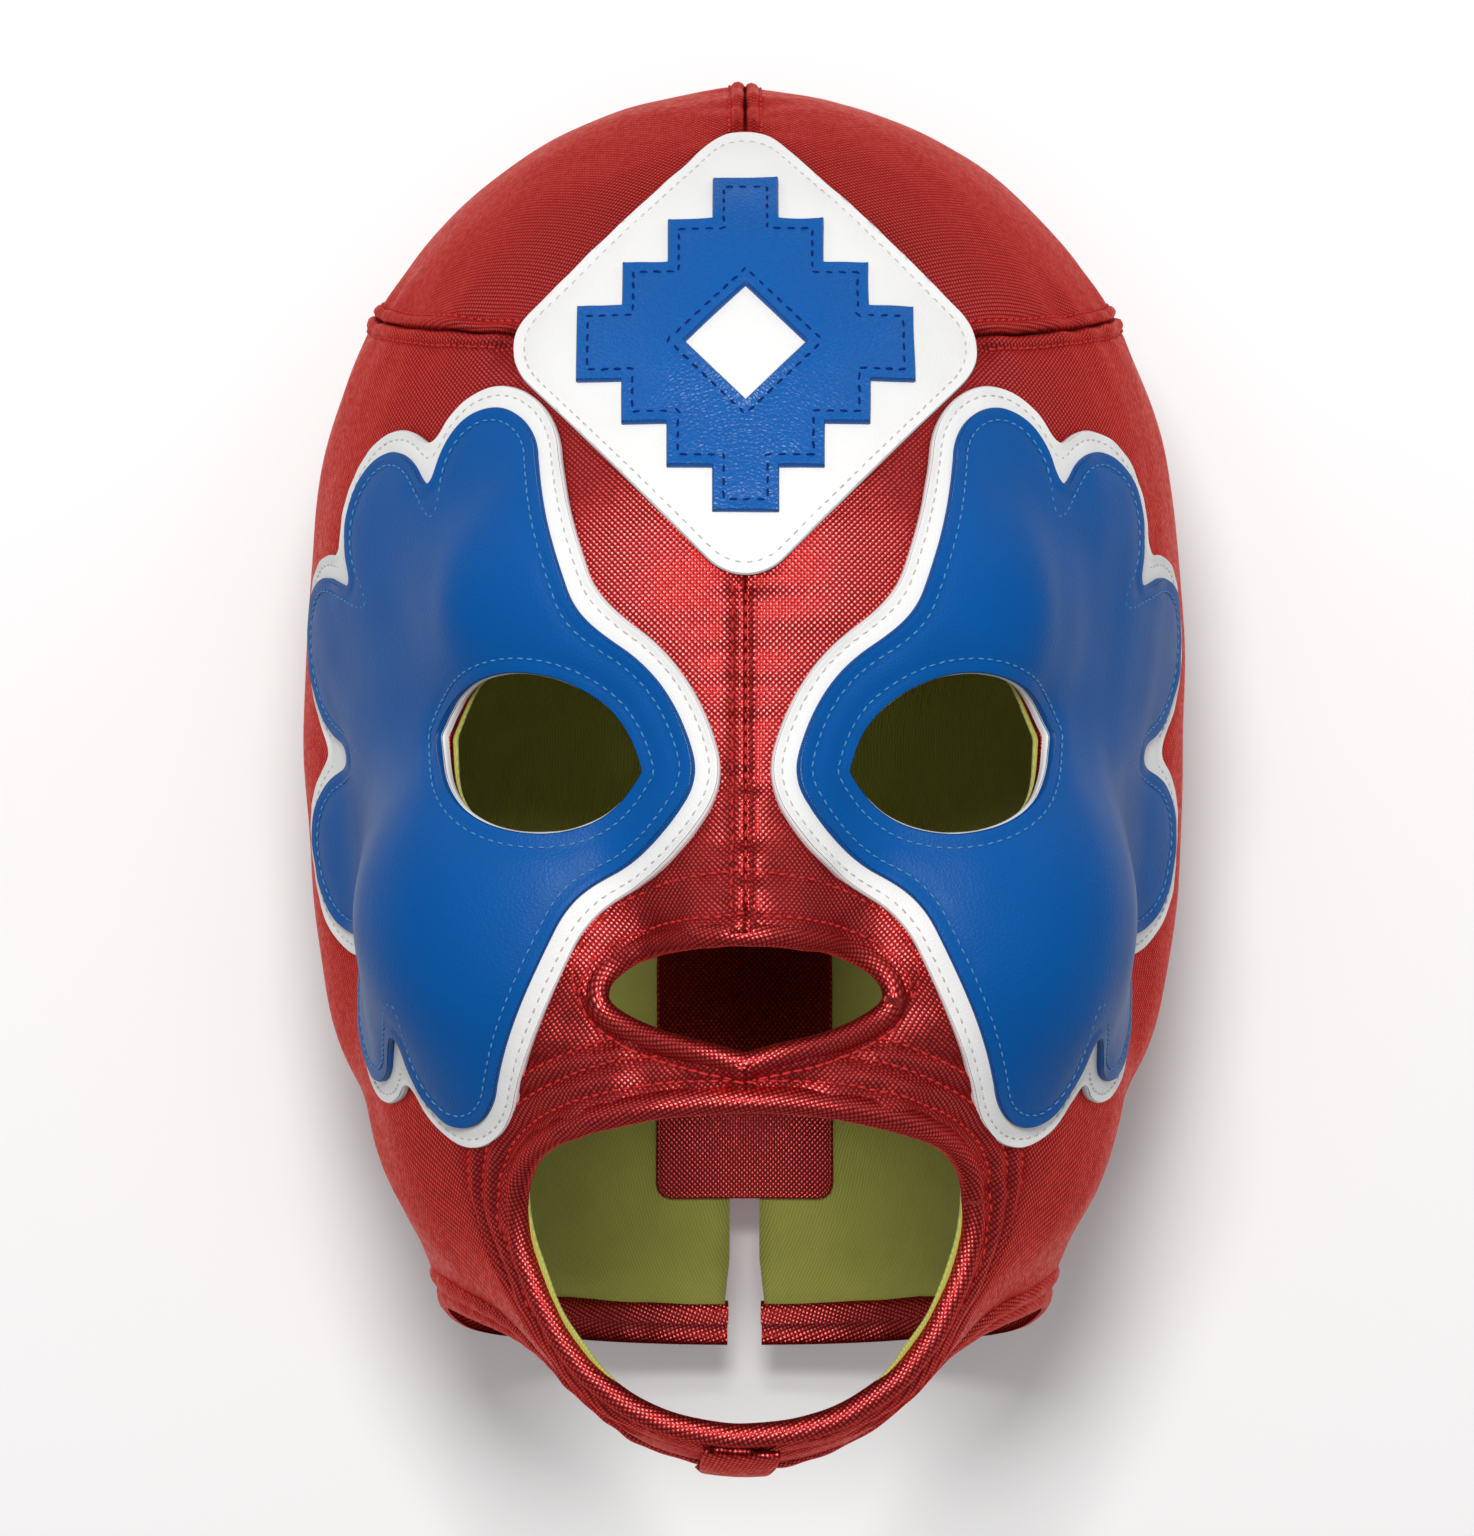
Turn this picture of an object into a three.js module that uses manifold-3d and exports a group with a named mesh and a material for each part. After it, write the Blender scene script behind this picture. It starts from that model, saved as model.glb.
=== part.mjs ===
// A hood-style wrestling mask lying on its back, filled out as when it is worn.
// Millimetres. +X is the mask's image-right side, +Y runs to the crown, +Z is up, where the face looks.

import * as THREE from 'three';
import { mergeVertices } from 'three/addons/utils/BufferGeometryUtils.js';
import Module from 'manifold-3d';

const wasm = await Module();
wasm.setup();

// Driving dimensions
const crownHeight = 122;          // crown above the eye line
const flatDepth = 98;             // flat spot at the back, behind the middle of the head
const seamHeight = 80.4;          // cross seam between crown and side panels, at mid-depth
const seamRise = 0.12;            // rise of that seam per millimetre toward the back
const seamGap = 0.3;              // between touching pieces
const slitWidth = 6;              // lacing slit down the back
const slitTop = 45;
const bindingWidth = 3.6;         // nose and mouth bindings
const hemWidth = 6;               // neck binding
const borderWidth = 4;            // white showing round the blue
const bandWidth = 16;             // lacing bands

// Layers, as heights over the outer face of the fabric
const layers = {
  fabric: [-1.0, 0],
  lining: [-1.9, -1.3],
  tongue: [-3.7, -2.7],
  backing: [0.3, 1.2],
  overlay: [1.5, 2.4],
  band: [0.3, 1.45],
  binding: [-2.8, 1.0],
  lap: [0.3, 1.3],
};

// Colours, roughness and metalness of each material
const materials = {
  fabric: { color: 0xa01820, roughness: 0.45, metalness: 0.35 },
  lining: { color: 0xa8a63a, roughness: 0.9, metalness: 0 },
  white: { color: 0xececec, roughness: 0.45, metalness: 0 },
  blue: { color: 0x0d56a0, roughness: 0.4, metalness: 0 },
  eyelet: { color: 0xb9bcc0, roughness: 0.3, metalness: 1 },
};

// The worn form, as lobes blended into each other
const rayCentre = new THREE.Vector3(0, -5, -2);
const headLobes = [
  { name: 'skull', centre: [0, crownHeight - 88, -7], radii: [79, 88, 93], blend: 1 },
  { name: 'occiput', centre: [0, -2, -34], radii: [60, 60, 68], blend: 26 },
  { name: 'face', centre: [0, -38, 30], radii: [64, 72, 58], blend: 24 },
  { name: 'jaw', centre: [0, -60, 8], radii: [66, 50, 52], blend: 20 },
  { name: 'chin', centre: [0, -94, 58], radii: [32, 27, 30], blend: 24 },
  { name: 'neck', centre: [0, -100, -22], radii: [55, 80, 50], blend: 22 },
  { name: 'brow', centre: [0, 26, 72], radii: [46, 18, 14], blend: 22 },
  { name: 'upper lip', centre: [0, -66, 78], radii: [28, 22, 18], blend: 18 },
  { name: 'cheekbone', centre: [42, -28, 60], radii: [20, 20, 18], blend: 22, paired: true },
  { name: 'ear', centre: [66, -18, -10], radii: [12, 36, 24], blend: 20, paired: true },
];
const noseBridge = { from: [0, 0, 79], to: [0, -37, 94], radius: 10, blend: 16 };

function blendMin(a, b, width) {
  const share = Math.max(width - Math.abs(a - b), 0) / width;
  return Math.min(a, b) - (share * share * width) / 4;
}

function lobeGap(x, y, z, { centre, radii }) {
  const p = [x - centre[0], y - centre[1], z - centre[2]];
  const near = Math.hypot(...p.map((value, i) => value / radii[i]));
  const slope = Math.hypot(...p.map((value, i) => value / radii[i] ** 2));
  return (near * (near - 1)) / Math.max(slope, 1e-9);
}

function bridgeGap(x, y, z) {
  const { from, to, radius } = noseBridge;
  const point = new THREE.Vector3(x, y, z);
  const line = new THREE.Line3(new THREE.Vector3(...from), new THREE.Vector3(...to));
  return line.closestPointToPoint(point, true, new THREE.Vector3()).distanceTo(point) - radius;
}

// Less than zero inside the head form, more than zero outside it
function formGap(x, y, z) {
  let gap = Infinity;
  for (const lobe of headLobes) {
    const sides = lobe.paired ? [-1, 1] : [1];
    for (const side of sides) {
      const one = lobeGap(side * x, y, z, lobe);
      gap = gap === Infinity ? one : blendMin(gap, one, lobe.blend);
    }
  }
  gap = blendMin(gap, bridgeGap(x, y, z), noseBridge.blend);
  return -blendMin(-gap, flatDepth + z, 1);
}

function surfacePoint(direction, origin = rayCentre) {
  let inside = 0;
  let outside = 210;
  const point = new THREE.Vector3();
  for (let i = 0; i < 34; i++) {
    const middle = (inside + outside) / 2;
    point.copy(origin).addScaledVector(direction, middle);
    if (formGap(point.x, point.y, point.z) < 0) inside = middle;
    else outside = middle;
  }
  return point;
}

function surfaceNormal({ x, y, z }) {
  const step = 0.4;
  return new THREE.Vector3(
    formGap(x + step, y, z) - formGap(x - step, y, z),
    formGap(x, y + step, z) - formGap(x, y - step, z),
    formGap(x, y, z + step) - formGap(x, y, z - step),
  ).normalize();
}

const degrees = THREE.MathUtils.degToRad;

// Direction from the ray centre: turn from the face about the head's height, fall from the crown
function rayDirection(turn, fall) {
  const [a, b] = [degrees(turn), degrees(fall)];
  return new THREE.Vector3(Math.sin(b) * Math.sin(a), Math.cos(b), Math.sin(b) * Math.cos(a));
}

// Solids for joining and cutting
function solidFrom(geometry) {
  const bare = geometry.clone();
  bare.deleteAttribute('normal');
  bare.deleteAttribute('uv');
  const merged = mergeVertices(bare, 1e-4);
  return new wasm.Manifold(new wasm.Mesh({
    numProp: 3,
    vertProperties: new Float32Array(merged.attributes.position.array),
    triVerts: new Uint32Array(merged.index.array),
  }));
}

function geometryFrom(solid) {
  const { vertProperties, triVerts, numProp } = solid.getMesh();
  const geometry = new THREE.BufferGeometry();
  const positions = new Float32Array((vertProperties.length / numProp) * 3);
  for (let i = 0; i < positions.length; i++) {
    positions[i] = vertProperties[Math.floor(i / 3) * numProp + (i % 3)];
  }
  geometry.setAttribute('position', new THREE.BufferAttribute(positions, 3));
  geometry.setIndex(new THREE.BufferAttribute(new Uint32Array(triVerts), 1));
  const faceted = geometry.toNonIndexed();
  faceted.computeVertexNormals();
  return faceted;
}

function indexedGeometry(points, faces) {
  const geometry = new THREE.BufferGeometry().setFromPoints(points);
  geometry.setIndex(faces.flat());
  return geometry;
}

function boxSolid([x0, x1], [y0, y1], [z0, z1]) {
  const box = new THREE.BoxGeometry(x1 - x0, y1 - y0, z1 - z0);
  box.translate((x0 + x1) / 2, (y0 + y1) / 2, (z0 + z1) / 2);
  return solidFrom(box);
}

// Closed skin of the head form at one height, on a grid that is finer round the nose and takes in
// the flat spot at the back
const halfTurns = [0, 6, 13, 22, 32, 44, 58, 73, 90, 108, 125, 140, 154, 167, 180];
const turns = [...halfTurns, ...halfTurns.slice(1, -1).reverse().map((turn) => -turn)];
const falls = [11, 24, 37, 50, 62, 73, 83, 92, 101, 110, 119, 127, 135, 143, 152, 162];

const gridPoints = falls.map((fall) => turns.map((turn) => surfacePoint(rayDirection(turn, fall))));
const gridNormals = gridPoints.map((row) => row.map(surfaceNormal));
const poles = [0, 180].map((fall) => surfacePoint(rayDirection(0, fall)));

function closedSkin(height) {
  const raised = (point, normal) => point.clone().addScaledVector(normal, height);
  const points = gridPoints.flatMap((row, i) => row.map((point, j) => raised(point, gridNormals[i][j])));
  points.push(...poles.map((pole) => raised(pole, surfaceNormal(pole))));
  const count = turns.length;
  const [crown, bottom] = [points.length - 2, points.length - 1];
  const lastRow = (falls.length - 1) * count;
  const faces = [];
  for (let j = 0; j < count; j++) {
    const next = (j + 1) % count;
    faces.push([crown, j, next], [bottom, lastRow + next, lastRow + j]);
    for (let row = 0; row < lastRow; row += count) {
      faces.push([row + j, row + count + j, row + next]);
      faces.push([row + next, row + count + j, row + count + next]);
    }
  }
  return solidFrom(indexedGeometry(points, faces));
}

const shell = ([low, high]) => closedSkin(high).subtract(closedSkin(low));

// Closed loft through rings of the same count, with its two ends capped
function loft(rings, capPoints) {
  const count = rings[0].length;
  const faces = [];
  for (let r = 0; r + 1 < rings.length; r++) {
    for (let i = 0; i < count; i++) {
      const [a, b] = [r * count + i, r * count + ((i + 1) % count)];
      faces.push([a, b, b + count], [a, b + count, a + count]);
    }
  }
  const last = (rings.length - 1) * count;
  for (const [a, b, c] of THREE.ShapeUtils.triangulateShape(capPoints, [])) {
    faces.push([a, c, b], [last + a, last + b, last + c]);
  }
  return solidFrom(indexedGeometry(rings.flat(), faces));
}

// Outlines on the head, as points that run anticlockwise as seen from outside
function outlineFrames(points) {
  const count = points.length;
  return points.map((point, i) => {
    const tangent = points[(i + 1) % count].clone().sub(points[(i + count - 1) % count]).normalize();
    const normal = surfaceNormal(point);
    const outward = new THREE.Vector3().crossVectors(tangent, normal).normalize();
    return { point, normal, outward };
  });
}

const framePoint = ({ point, normal, outward }, width, height) =>
  point.clone().addScaledVector(outward, width).addScaledVector(normal, height);

// Cutter through all layers inside an outline, widened by a margin
function cutter(frames, flatPoints, margin = 0, reach = [0.45, 1.5]) {
  const fromCentre = (share) => frames.map((frame) => {
    const point = framePoint(frame, margin, 0);
    return point.sub(rayCentre).multiplyScalar(share).add(rayCentre);
  });
  const across = (height) => frames.map((frame) => framePoint(frame, margin, height));
  const [low, high] = layers.binding;
  return loft([fromCentre(reach[0]), across(low), across(high), fromCentre(reach[1])], flatPoints);
}

// Ring of one section that follows an outline
function bindingRing(frames, width, closed = true) {
  const [low, high] = layers.binding;
  const bevel = 1.1;
  const section = [
    [0, low + bevel], [bevel, low], [width, low],
    [width, high], [bevel, high], [0, high - bevel],
  ];
  const sides = section.length;
  const points = frames.flatMap((frame) => section.map(([w, h]) => framePoint(frame, w, h)));
  const faces = [];
  const spans = closed ? frames.length : frames.length - 1;
  for (let i = 0; i < spans; i++) {
    const [here, there] = [i * sides, ((i + 1) % frames.length) * sides];
    for (let s = 0; s < sides; s++) {
      const t = (s + 1) % sides;
      faces.push([here + s, there + s, there + t], [here + s, there + t, here + t]);
    }
  }
  if (!closed) {
    const last = (frames.length - 1) * sides;
    for (let s = 1; s + 1 < sides; s++) {
      faces.push([0, s, s + 1], [last, last + s + 1, last + s]);
    }
  }
  return solidFrom(indexedGeometry(points, faces));
}

// Chart of the wrap round the head: across is the length round from the middle of the face
// at the eye line, up is the height over the eye line
const wrapTable = [];
for (let turn = 0, length = 0, before = null; turn <= 150; turn += 1) {
  const origin = new THREE.Vector3(0, 0, rayCentre.z);
  const point = surfacePoint(rayDirection(turn, 90), origin);
  if (before) length += point.distanceTo(before);
  wrapTable.push({ turn, length });
  before = point;
}

function wrapPoint(across, up) {
  const size = Math.abs(across);
  const upper = Math.max(1, wrapTable.findIndex((entry) => entry.length >= size));
  const [a, b] = [wrapTable[upper - 1], wrapTable[upper]];
  const turn = THREE.MathUtils.mapLinear(size, a.length, b.length, a.turn, b.turn);
  const origin = new THREE.Vector3(0, up, rayCentre.z);
  return surfacePoint(rayDirection(Math.sign(across) * turn, 90), origin);
}

// Chart of the front: straight back from the face
function frontPoint(x, y) {
  return surfacePoint(new THREE.Vector3(0, 0, 1), new THREE.Vector3(x, y, 0));
}

// Eye openings and their surrounds, drawn on the wrap chart
const eye = { across: 38.5, up: 1, halfLength: 21, halfHeight: 14, tilt: 8, rim: 9.5 };
const surroundBody = { across: 62, up: -2, radius: 30, blend: 10 };
const scallops = [
  { bearing: 76, reach: 60, tip: 12 },
  { bearing: 45, reach: 68, tip: 13.5 },
  { bearing: 15, reach: 79, tip: 14.5 },
  { bearing: -15, reach: 82, tip: 14.5 },
  { bearing: -44, reach: 76, tip: 13.5 },
  { bearing: -72, reach: 66, tip: 10.5 },
];
const scallopRoot = { distance: 12, radius: 16, blend: 5 };

// Almond shape of two arcs, less than zero inside
function eyeField(across, up) {
  const { halfLength, halfHeight, tilt } = eye;
  const [dx, dy] = [across - eye.across, up - eye.up];
  const [c, s] = [Math.cos(degrees(tilt)), Math.sin(degrees(tilt))];
  const [u, v] = [Math.abs(dx * c + dy * s), Math.abs(dy * c - dx * s)];
  const radius = (halfLength ** 2 + halfHeight ** 2) / (2 * halfHeight);
  const drop = radius - halfHeight;
  if ((u - halfLength) * drop > v * halfLength) return Math.hypot(v, u - halfLength);
  return Math.hypot(v + drop, u) - radius;
}

// Scalloped surround, less than zero inside
function surroundField(across, up) {
  const { distance, radius, blend } = scallopRoot;
  const body = Math.hypot(across - surroundBody.across, up - surroundBody.up) - surroundBody.radius;
  let field = blendMin(eyeField(across, up) - eye.rim, body, surroundBody.blend);
  for (const { bearing, reach, tip } of scallops) {
    const [c, s] = [Math.cos(degrees(bearing)), Math.sin(degrees(bearing))];
    const span = reach - tip - distance;
    const [dx, dy] = [across - eye.across - distance * c, up - eye.up - distance * s];
    const share = THREE.MathUtils.clamp((dx * c + dy * s) / span, 0, 1);
    const lobe = Math.hypot(dx - share * span * c, dy - share * span * s);
    field = blendMin(field, lobe - THREE.MathUtils.lerp(radius, tip, share), blend);
  }
  return field;
}

// Outline where a field reaches a level, traced by rays from the middle of the eye
function traceOutline(field, level, count) {
  const outline = [];
  for (let i = 0; i < count; i++) {
    const angle = (2 * Math.PI * i) / count;
    const at = (radius) => [eye.across + radius * Math.cos(angle), eye.up + radius * Math.sin(angle)];
    let [inside, outside] = [0, 100];
    for (let step = 0; step < 30; step++) {
      const middle = (inside + outside) / 2;
      if (field(...at(middle)) < level) inside = middle;
      else outside = middle;
    }
    outline.push(new THREE.Vector2(...at(inside)));
  }
  return outline;
}

// Leaves out points that lie within a tolerance of the line past them
function thinned(outline, tolerance) {
  const kept = [];
  const reach = (a, b, p) => {
    const along = b.clone().sub(a);
    return Math.abs(along.cross(p.clone().sub(a))) / Math.max(along.length(), 1e-9);
  };
  const split = (first, last) => {
    let [worst, at] = [0, -1];
    for (let i = first + 1; i < last; i++) {
      const miss = reach(outline[first], outline[last % outline.length], outline[i]);
      if (miss > worst) [worst, at] = [miss, i];
    }
    if (worst > tolerance) {
      split(first, at);
      split(at, last);
    } else kept.push(outline[first]);
  };
  const half = Math.floor(outline.length / 2);
  split(0, half);
  split(half, outline.length);
  return kept;
}

const eyeOutline = thinned(traceOutline(eyeField, 0, 120), 0.5);
const surroundOutline = thinned(traceOutline(surroundField, 0, 240), 1);
const backingOutline = thinned(traceOutline(surroundField, borderWidth, 240), 1);

// Cutter through an outline on the wrap chart, on either side of the face
function wrapCutter(outline, side) {
  const ordered = side > 0 ? outline : [...outline].reverse();
  const points = ordered.map(({ x, y }) => wrapPoint(side * x, y));
  return radialCutter(points, ordered.map(({ x, y }) => new THREE.Vector2(side * x, y)));
}

function frontCutter(outline) {
  return radialCutter(outline.map(({ x, y }) => frontPoint(x, y)), outline);
}

function radialCutter(points, flatPoints) {
  const ring = (share) => points.map((point) =>
    point.clone().sub(rayCentre).multiplyScalar(share).add(rayCentre));
  return loft([ring(0.6), ring(1.4)], flatPoints);
}

// Forehead patch: a rounded white diamond under a stepped blue one with a diamond hole
const patch = { up: 70, reach: 43, corner: 9, hole: 10 };
const patchSteps = [[28, 6.5], [20.5, 14], [13, 21.5], [5.5, 29]];

function roundedDiamond({ up, reach, corner }) {
  const shape = [];
  const inner = reach - corner * Math.SQRT2;
  for (let quarter = 0; quarter < 4; quarter++) {
    for (let step = 0; step <= 4; step++) {
      const angle = degrees(90 * quarter - 45 + 22.5 * step);
      const middle = degrees(90 * quarter);
      shape.push(new THREE.Vector2(
        inner * Math.cos(middle) + corner * Math.cos(angle),
        up + inner * Math.sin(middle) + corner * Math.sin(angle),
      ));
    }
  }
  return shape;
}

function steppedDiamond() {
  const quarter = [];
  patchSteps.forEach(([x, y], i) => {
    if (i > 0) quarter.push([x, patchSteps[i - 1][1]]);
    quarter.push([x, y]);
  });
  const mirrored = (list, sx, sy) => list.map(([x, y]) => new THREE.Vector2(sx * x, patch.up + sy * y));
  const back = [...quarter].reverse();
  return [
    ...mirrored(quarter, 1, 1), ...mirrored(back, -1, 1),
    ...mirrored(quarter, -1, -1), ...mirrored(back, 1, -1),
  ];
}

const patchHole = [[1, 0], [0, 1], [-1, 0], [0, -1]].map(([x, y]) =>
  new THREE.Vector2(patch.hole * x, patch.up + patch.hole * y));

// Nose opening: an arc over a shallow point
const nose = { up: -40, halfWidth: 23.5, rise: 9.5, drop: 9.5, count: 24 };

function noseOutline() {
  const outline = [];
  for (let i = 0; i < nose.count; i++) {
    const angle = (2 * Math.PI * i) / nose.count;
    const x = nose.halfWidth * Math.cos(angle);
    const share = Math.sin(angle);
    const pointed = 0.5 * share - 0.5 * (1 - Math.abs(Math.cos(angle)));
    const y = share >= 0 ? nose.rise * share : nose.drop * pointed;
    outline.push(new THREE.Vector2(x, nose.up + y));
  }
  return outline;
}

// Mouth and chin opening, as an oval of ray directions
const mouth = { fall: 131.2, halfFall: 12.6, halfTurn: 28.5, count: 28 };

function mouthOutline() {
  const outline = [];
  for (let i = 0; i < mouth.count; i++) {
    const angle = (2 * Math.PI * i) / mouth.count;
    const fall = mouth.fall - mouth.halfFall * Math.sin(angle);
    const widening = Math.sin(degrees(mouth.fall)) / Math.sin(degrees(fall));
    const turn = mouth.halfTurn * Math.cos(angle) * widening;
    outline.push(new THREE.Vector2(turn, -fall));
  }
  return outline;
}

// Neck edge: how far it falls from the crown, at each turn from the face
const neckFalls = [[0, 152.5], [30, 151], [60, 148.5], [90, 147], [120, 146], [150, 145], [180, 145]];
const neckCount = 32;

function neckFall(turn) {
  const size = Math.abs(turn);
  const upper = Math.max(1, neckFalls.findIndex(([at]) => at >= size));
  const [[a, fallA], [b, fallB]] = [neckFalls[upper - 1], neckFalls[upper]];
  return THREE.MathUtils.mapLinear(size, a, b, fallA, fallB);
}

// The neck edge runs so that the kept panel lies on its outward side, starting at the back slit
function neckOutline() {
  const outline = [];
  for (let i = 0; i < neckCount; i++) {
    const turn = -180 + (360 * (i + 0.5)) / neckCount;
    outline.push(surfacePoint(rayDirection(turn, neckFall(turn))));
  }
  return outline;
}

const noseFlat = noseOutline();
const noseFrames = outlineFrames(noseFlat.map(({ x, y }) => frontPoint(x, y)));
const mouthFlat = mouthOutline();
const mouthFrames = outlineFrames(mouthFlat.map(({ x, y }) => surfacePoint(rayDirection(x, -y))));
const neckPoints = neckOutline();
const neckFlat = neckPoints.map(({ x, z }) => new THREE.Vector2(x, z));
const neckFrames = outlineFrames([...neckPoints].reverse());
neckFlat.reverse();

const eyeCutters = [-1, 1].map((side) => wrapCutter(eyeOutline, side));
const noseCutter = cutter(noseFrames, noseFlat, bindingWidth + seamGap);
const mouthCutter = cutter(mouthFrames, mouthFlat, bindingWidth + seamGap);
const neckCutter = cutter(neckFrames, neckFlat, hemWidth + seamGap, [0.4, 1.9]);
const slitCutter = boxSolid([-slitWidth / 2, slitWidth / 2], [-200, slitTop], [-200, 0]);
const openingCutters = [...eyeCutters, noseCutter, mouthCutter, neckCutter, slitCutter];

const cutAll = (solid, cutters) => cutters.reduce((left, one) => left.subtract(one), solid);

// Lace holes down both sides of the back slit
const eyelet = { outer: 3.4, inner: 2, top: 1, count: 5, first: 37, pitch: 27, across: 8.5, sides: 10 };
const eyeletSpots = [];
for (const [side, sign] of [['left', -1], ['right', 1]]) {
  for (let i = 0; i < eyelet.count; i++) {
    const from = new THREE.Vector3(sign * eyelet.across, eyelet.first - i * eyelet.pitch, 0);
    const point = surfacePoint(new THREE.Vector3(0, 0, -1), from);
    eyeletSpots.push({ name: `eyelet_${side}_${i + 1}`, point, normal: surfaceNormal(point) });
  }
}

const axisTurn = (normal) =>
  new THREE.Quaternion().setFromUnitVectors(new THREE.Vector3(0, 1, 0), normal);
const holeRadius = eyelet.outer + seamGap;
const holePunch = new THREE.CylinderGeometry(holeRadius, holeRadius, 8, eyelet.sides);
const punches = eyeletSpots.map(({ point, normal }) => {
  const punch = holePunch.clone().applyQuaternion(axisTurn(normal));
  return solidFrom(punch.translate(point.x, point.y, point.z));
});

// The mask as a group of named pieces
const mask = new THREE.Group();
mask.name = 'wrestling_mask';
const body = new THREE.Group();
mask.add(body);
const looks = Object.fromEntries(Object.entries(materials).map(([name, look]) =>
  [name, new THREE.MeshStandardMaterial(look)]));

function addPiece(name, solid, look) {
  const mesh = new THREE.Mesh(geometryFrom(solid), looks[look]);
  mesh.name = name;
  body.add(mesh);
}

// Fabric panels between the seams
const far = 220;
const crossSeamTilt = Math.atan(seamRise);

function crossSlab(low, high) {
  const box = new THREE.BoxGeometry(2 * far, high - low, 2 * far);
  box.translate(0, (low + high) / 2, 0);
  box.rotateX(crossSeamTilt);
  box.translate(0, seamHeight, 0);
  return solidFrom(box);
}

const aboveSeam = crossSlab(seamGap / 2, far);
const belowSeam = crossSlab(-2 * far, -seamGap / 2);
const halves = {
  left: boxSolid([-far, -seamGap / 2], [-far, far], [-far, far]),
  right: boxSolid([seamGap / 2, far], [-far, far], [-far, far]),
};
const fabricShell = cutAll(shell(layers.fabric), [...openingCutters, ...punches]);

for (const side of ['left', 'right']) {
  const half = fabricShell.intersect(halves[side]);
  addPiece(`crown_panel_${side}`, half.intersect(aboveSeam), 'fabric');
  addPiece(`side_panel_${side}`, half.intersect(belowSeam), 'fabric');
}
addPiece('lining', cutAll(shell(layers.lining), [...openingCutters, ...punches]), 'lining');

// Bindings round the nose, mouth and neck edges
const slitEnds = boxSolid([-slitWidth / 2, slitWidth / 2], [-far, 0], [-far, 0]);
addPiece('nose_binding', bindingRing(noseFrames, bindingWidth), 'fabric');
addPiece('mouth_binding', bindingRing(mouthFrames, bindingWidth), 'fabric');
addPiece('neck_binding', bindingRing(neckFrames, hemWidth).subtract(slitEnds), 'fabric');

// Vinyl surrounds and the forehead patch
const backingShell = shell(layers.backing);
const overlayShell = shell(layers.overlay);
for (const [side, sign, opening] of [['left', -1, eyeCutters[0]], ['right', 1, eyeCutters[1]]]) {
  const backing = backingShell.intersect(wrapCutter(backingOutline, sign)).subtract(opening);
  const overlay = overlayShell.intersect(wrapCutter(surroundOutline, sign)).subtract(opening);
  addPiece(`eye_backing_${side}`, backing, 'white');
  addPiece(`eye_surround_${side}`, overlay, 'blue');
}
addPiece('forehead_backing', backingShell.intersect(frontCutter(roundedDiamond(patch))), 'white');
const motif = overlayShell.intersect(frontCutter(steppedDiamond()));
addPiece('forehead_motif', motif.subtract(frontCutter(patchHole)), 'blue');

// Lap of one strap end over the other, under the chin
const lap = { turnFrom: -7, turnTo: 4, fallFrom: 146, fallTo: 149.3 };
const lapFlat = [
  [lap.turnFrom, -lap.fallTo], [lap.turnTo, -lap.fallTo],
  [lap.turnTo, -lap.fallFrom], [lap.turnFrom, -lap.fallFrom],
].map(([turn, fall]) => new THREE.Vector2(turn, fall));
const lapPoints = lapFlat.map(({ x, y }) => surfacePoint(rayDirection(x, -y)));
addPiece('chin_strap_lap', shell(layers.lap).intersect(radialCutter(lapPoints, lapFlat)), 'fabric');

// Tongue behind the slit, and the bands and eyelets beside it
const tongueBox = boxSolid([-18, 18], [-84, 58], [-far, 0]);
addPiece('back_tongue', shell(layers.tongue).intersect(tongueBox), 'fabric');

const bandBottom = -82;
const restDepth = flatDepth + 1.3;   // the bands are pressed flat where the mask lies on them
const bandShell = cutAll(shell(layers.band), punches);
const bandEdges = [slitWidth / 2, slitWidth / 2 + bandWidth];
const bandSpans = { left: [-bandEdges[1], -bandEdges[0]], right: bandEdges };
for (const [side, span] of Object.entries(bandSpans)) {
  const bandBox = boxSolid(span, [bandBottom, slitTop], [-restDepth, 0]);
  addPiece(`lacing_band_${side}`, bandShell.intersect(bandBox), 'fabric');
}

const eyeletProfile = [
  [eyelet.inner, layers.lining[0]], [eyelet.outer, layers.lining[0]],
  [eyelet.outer, eyelet.top], [eyelet.inner, eyelet.top], [eyelet.inner, layers.lining[0]],
];
const eyeletRing = new THREE.LatheGeometry(
  eyeletProfile.map(([radius, height]) => new THREE.Vector2(radius, height)), eyelet.sides);
for (const { name, point, normal } of eyeletSpots) {
  const mesh = new THREE.Mesh(eyeletRing, looks.eyelet);
  mesh.name = name;
  mesh.position.copy(point);
  mesh.quaternion.copy(axisTurn(normal));
  body.add(mesh);
}

// The origin is under the middle of the mask, on the surface that it lies on
const bounds = new THREE.Box3().setFromObject(body, true);
body.position.set(0, -(bounds.min.y + bounds.max.y) / 2, -bounds.min.z);

export default mask;
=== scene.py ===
import math

import bpy
import numpy as np
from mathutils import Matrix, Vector
from mathutils.geometry import delaunay_2d_cdt
from mathutils.kdtree import KDTree


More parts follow.
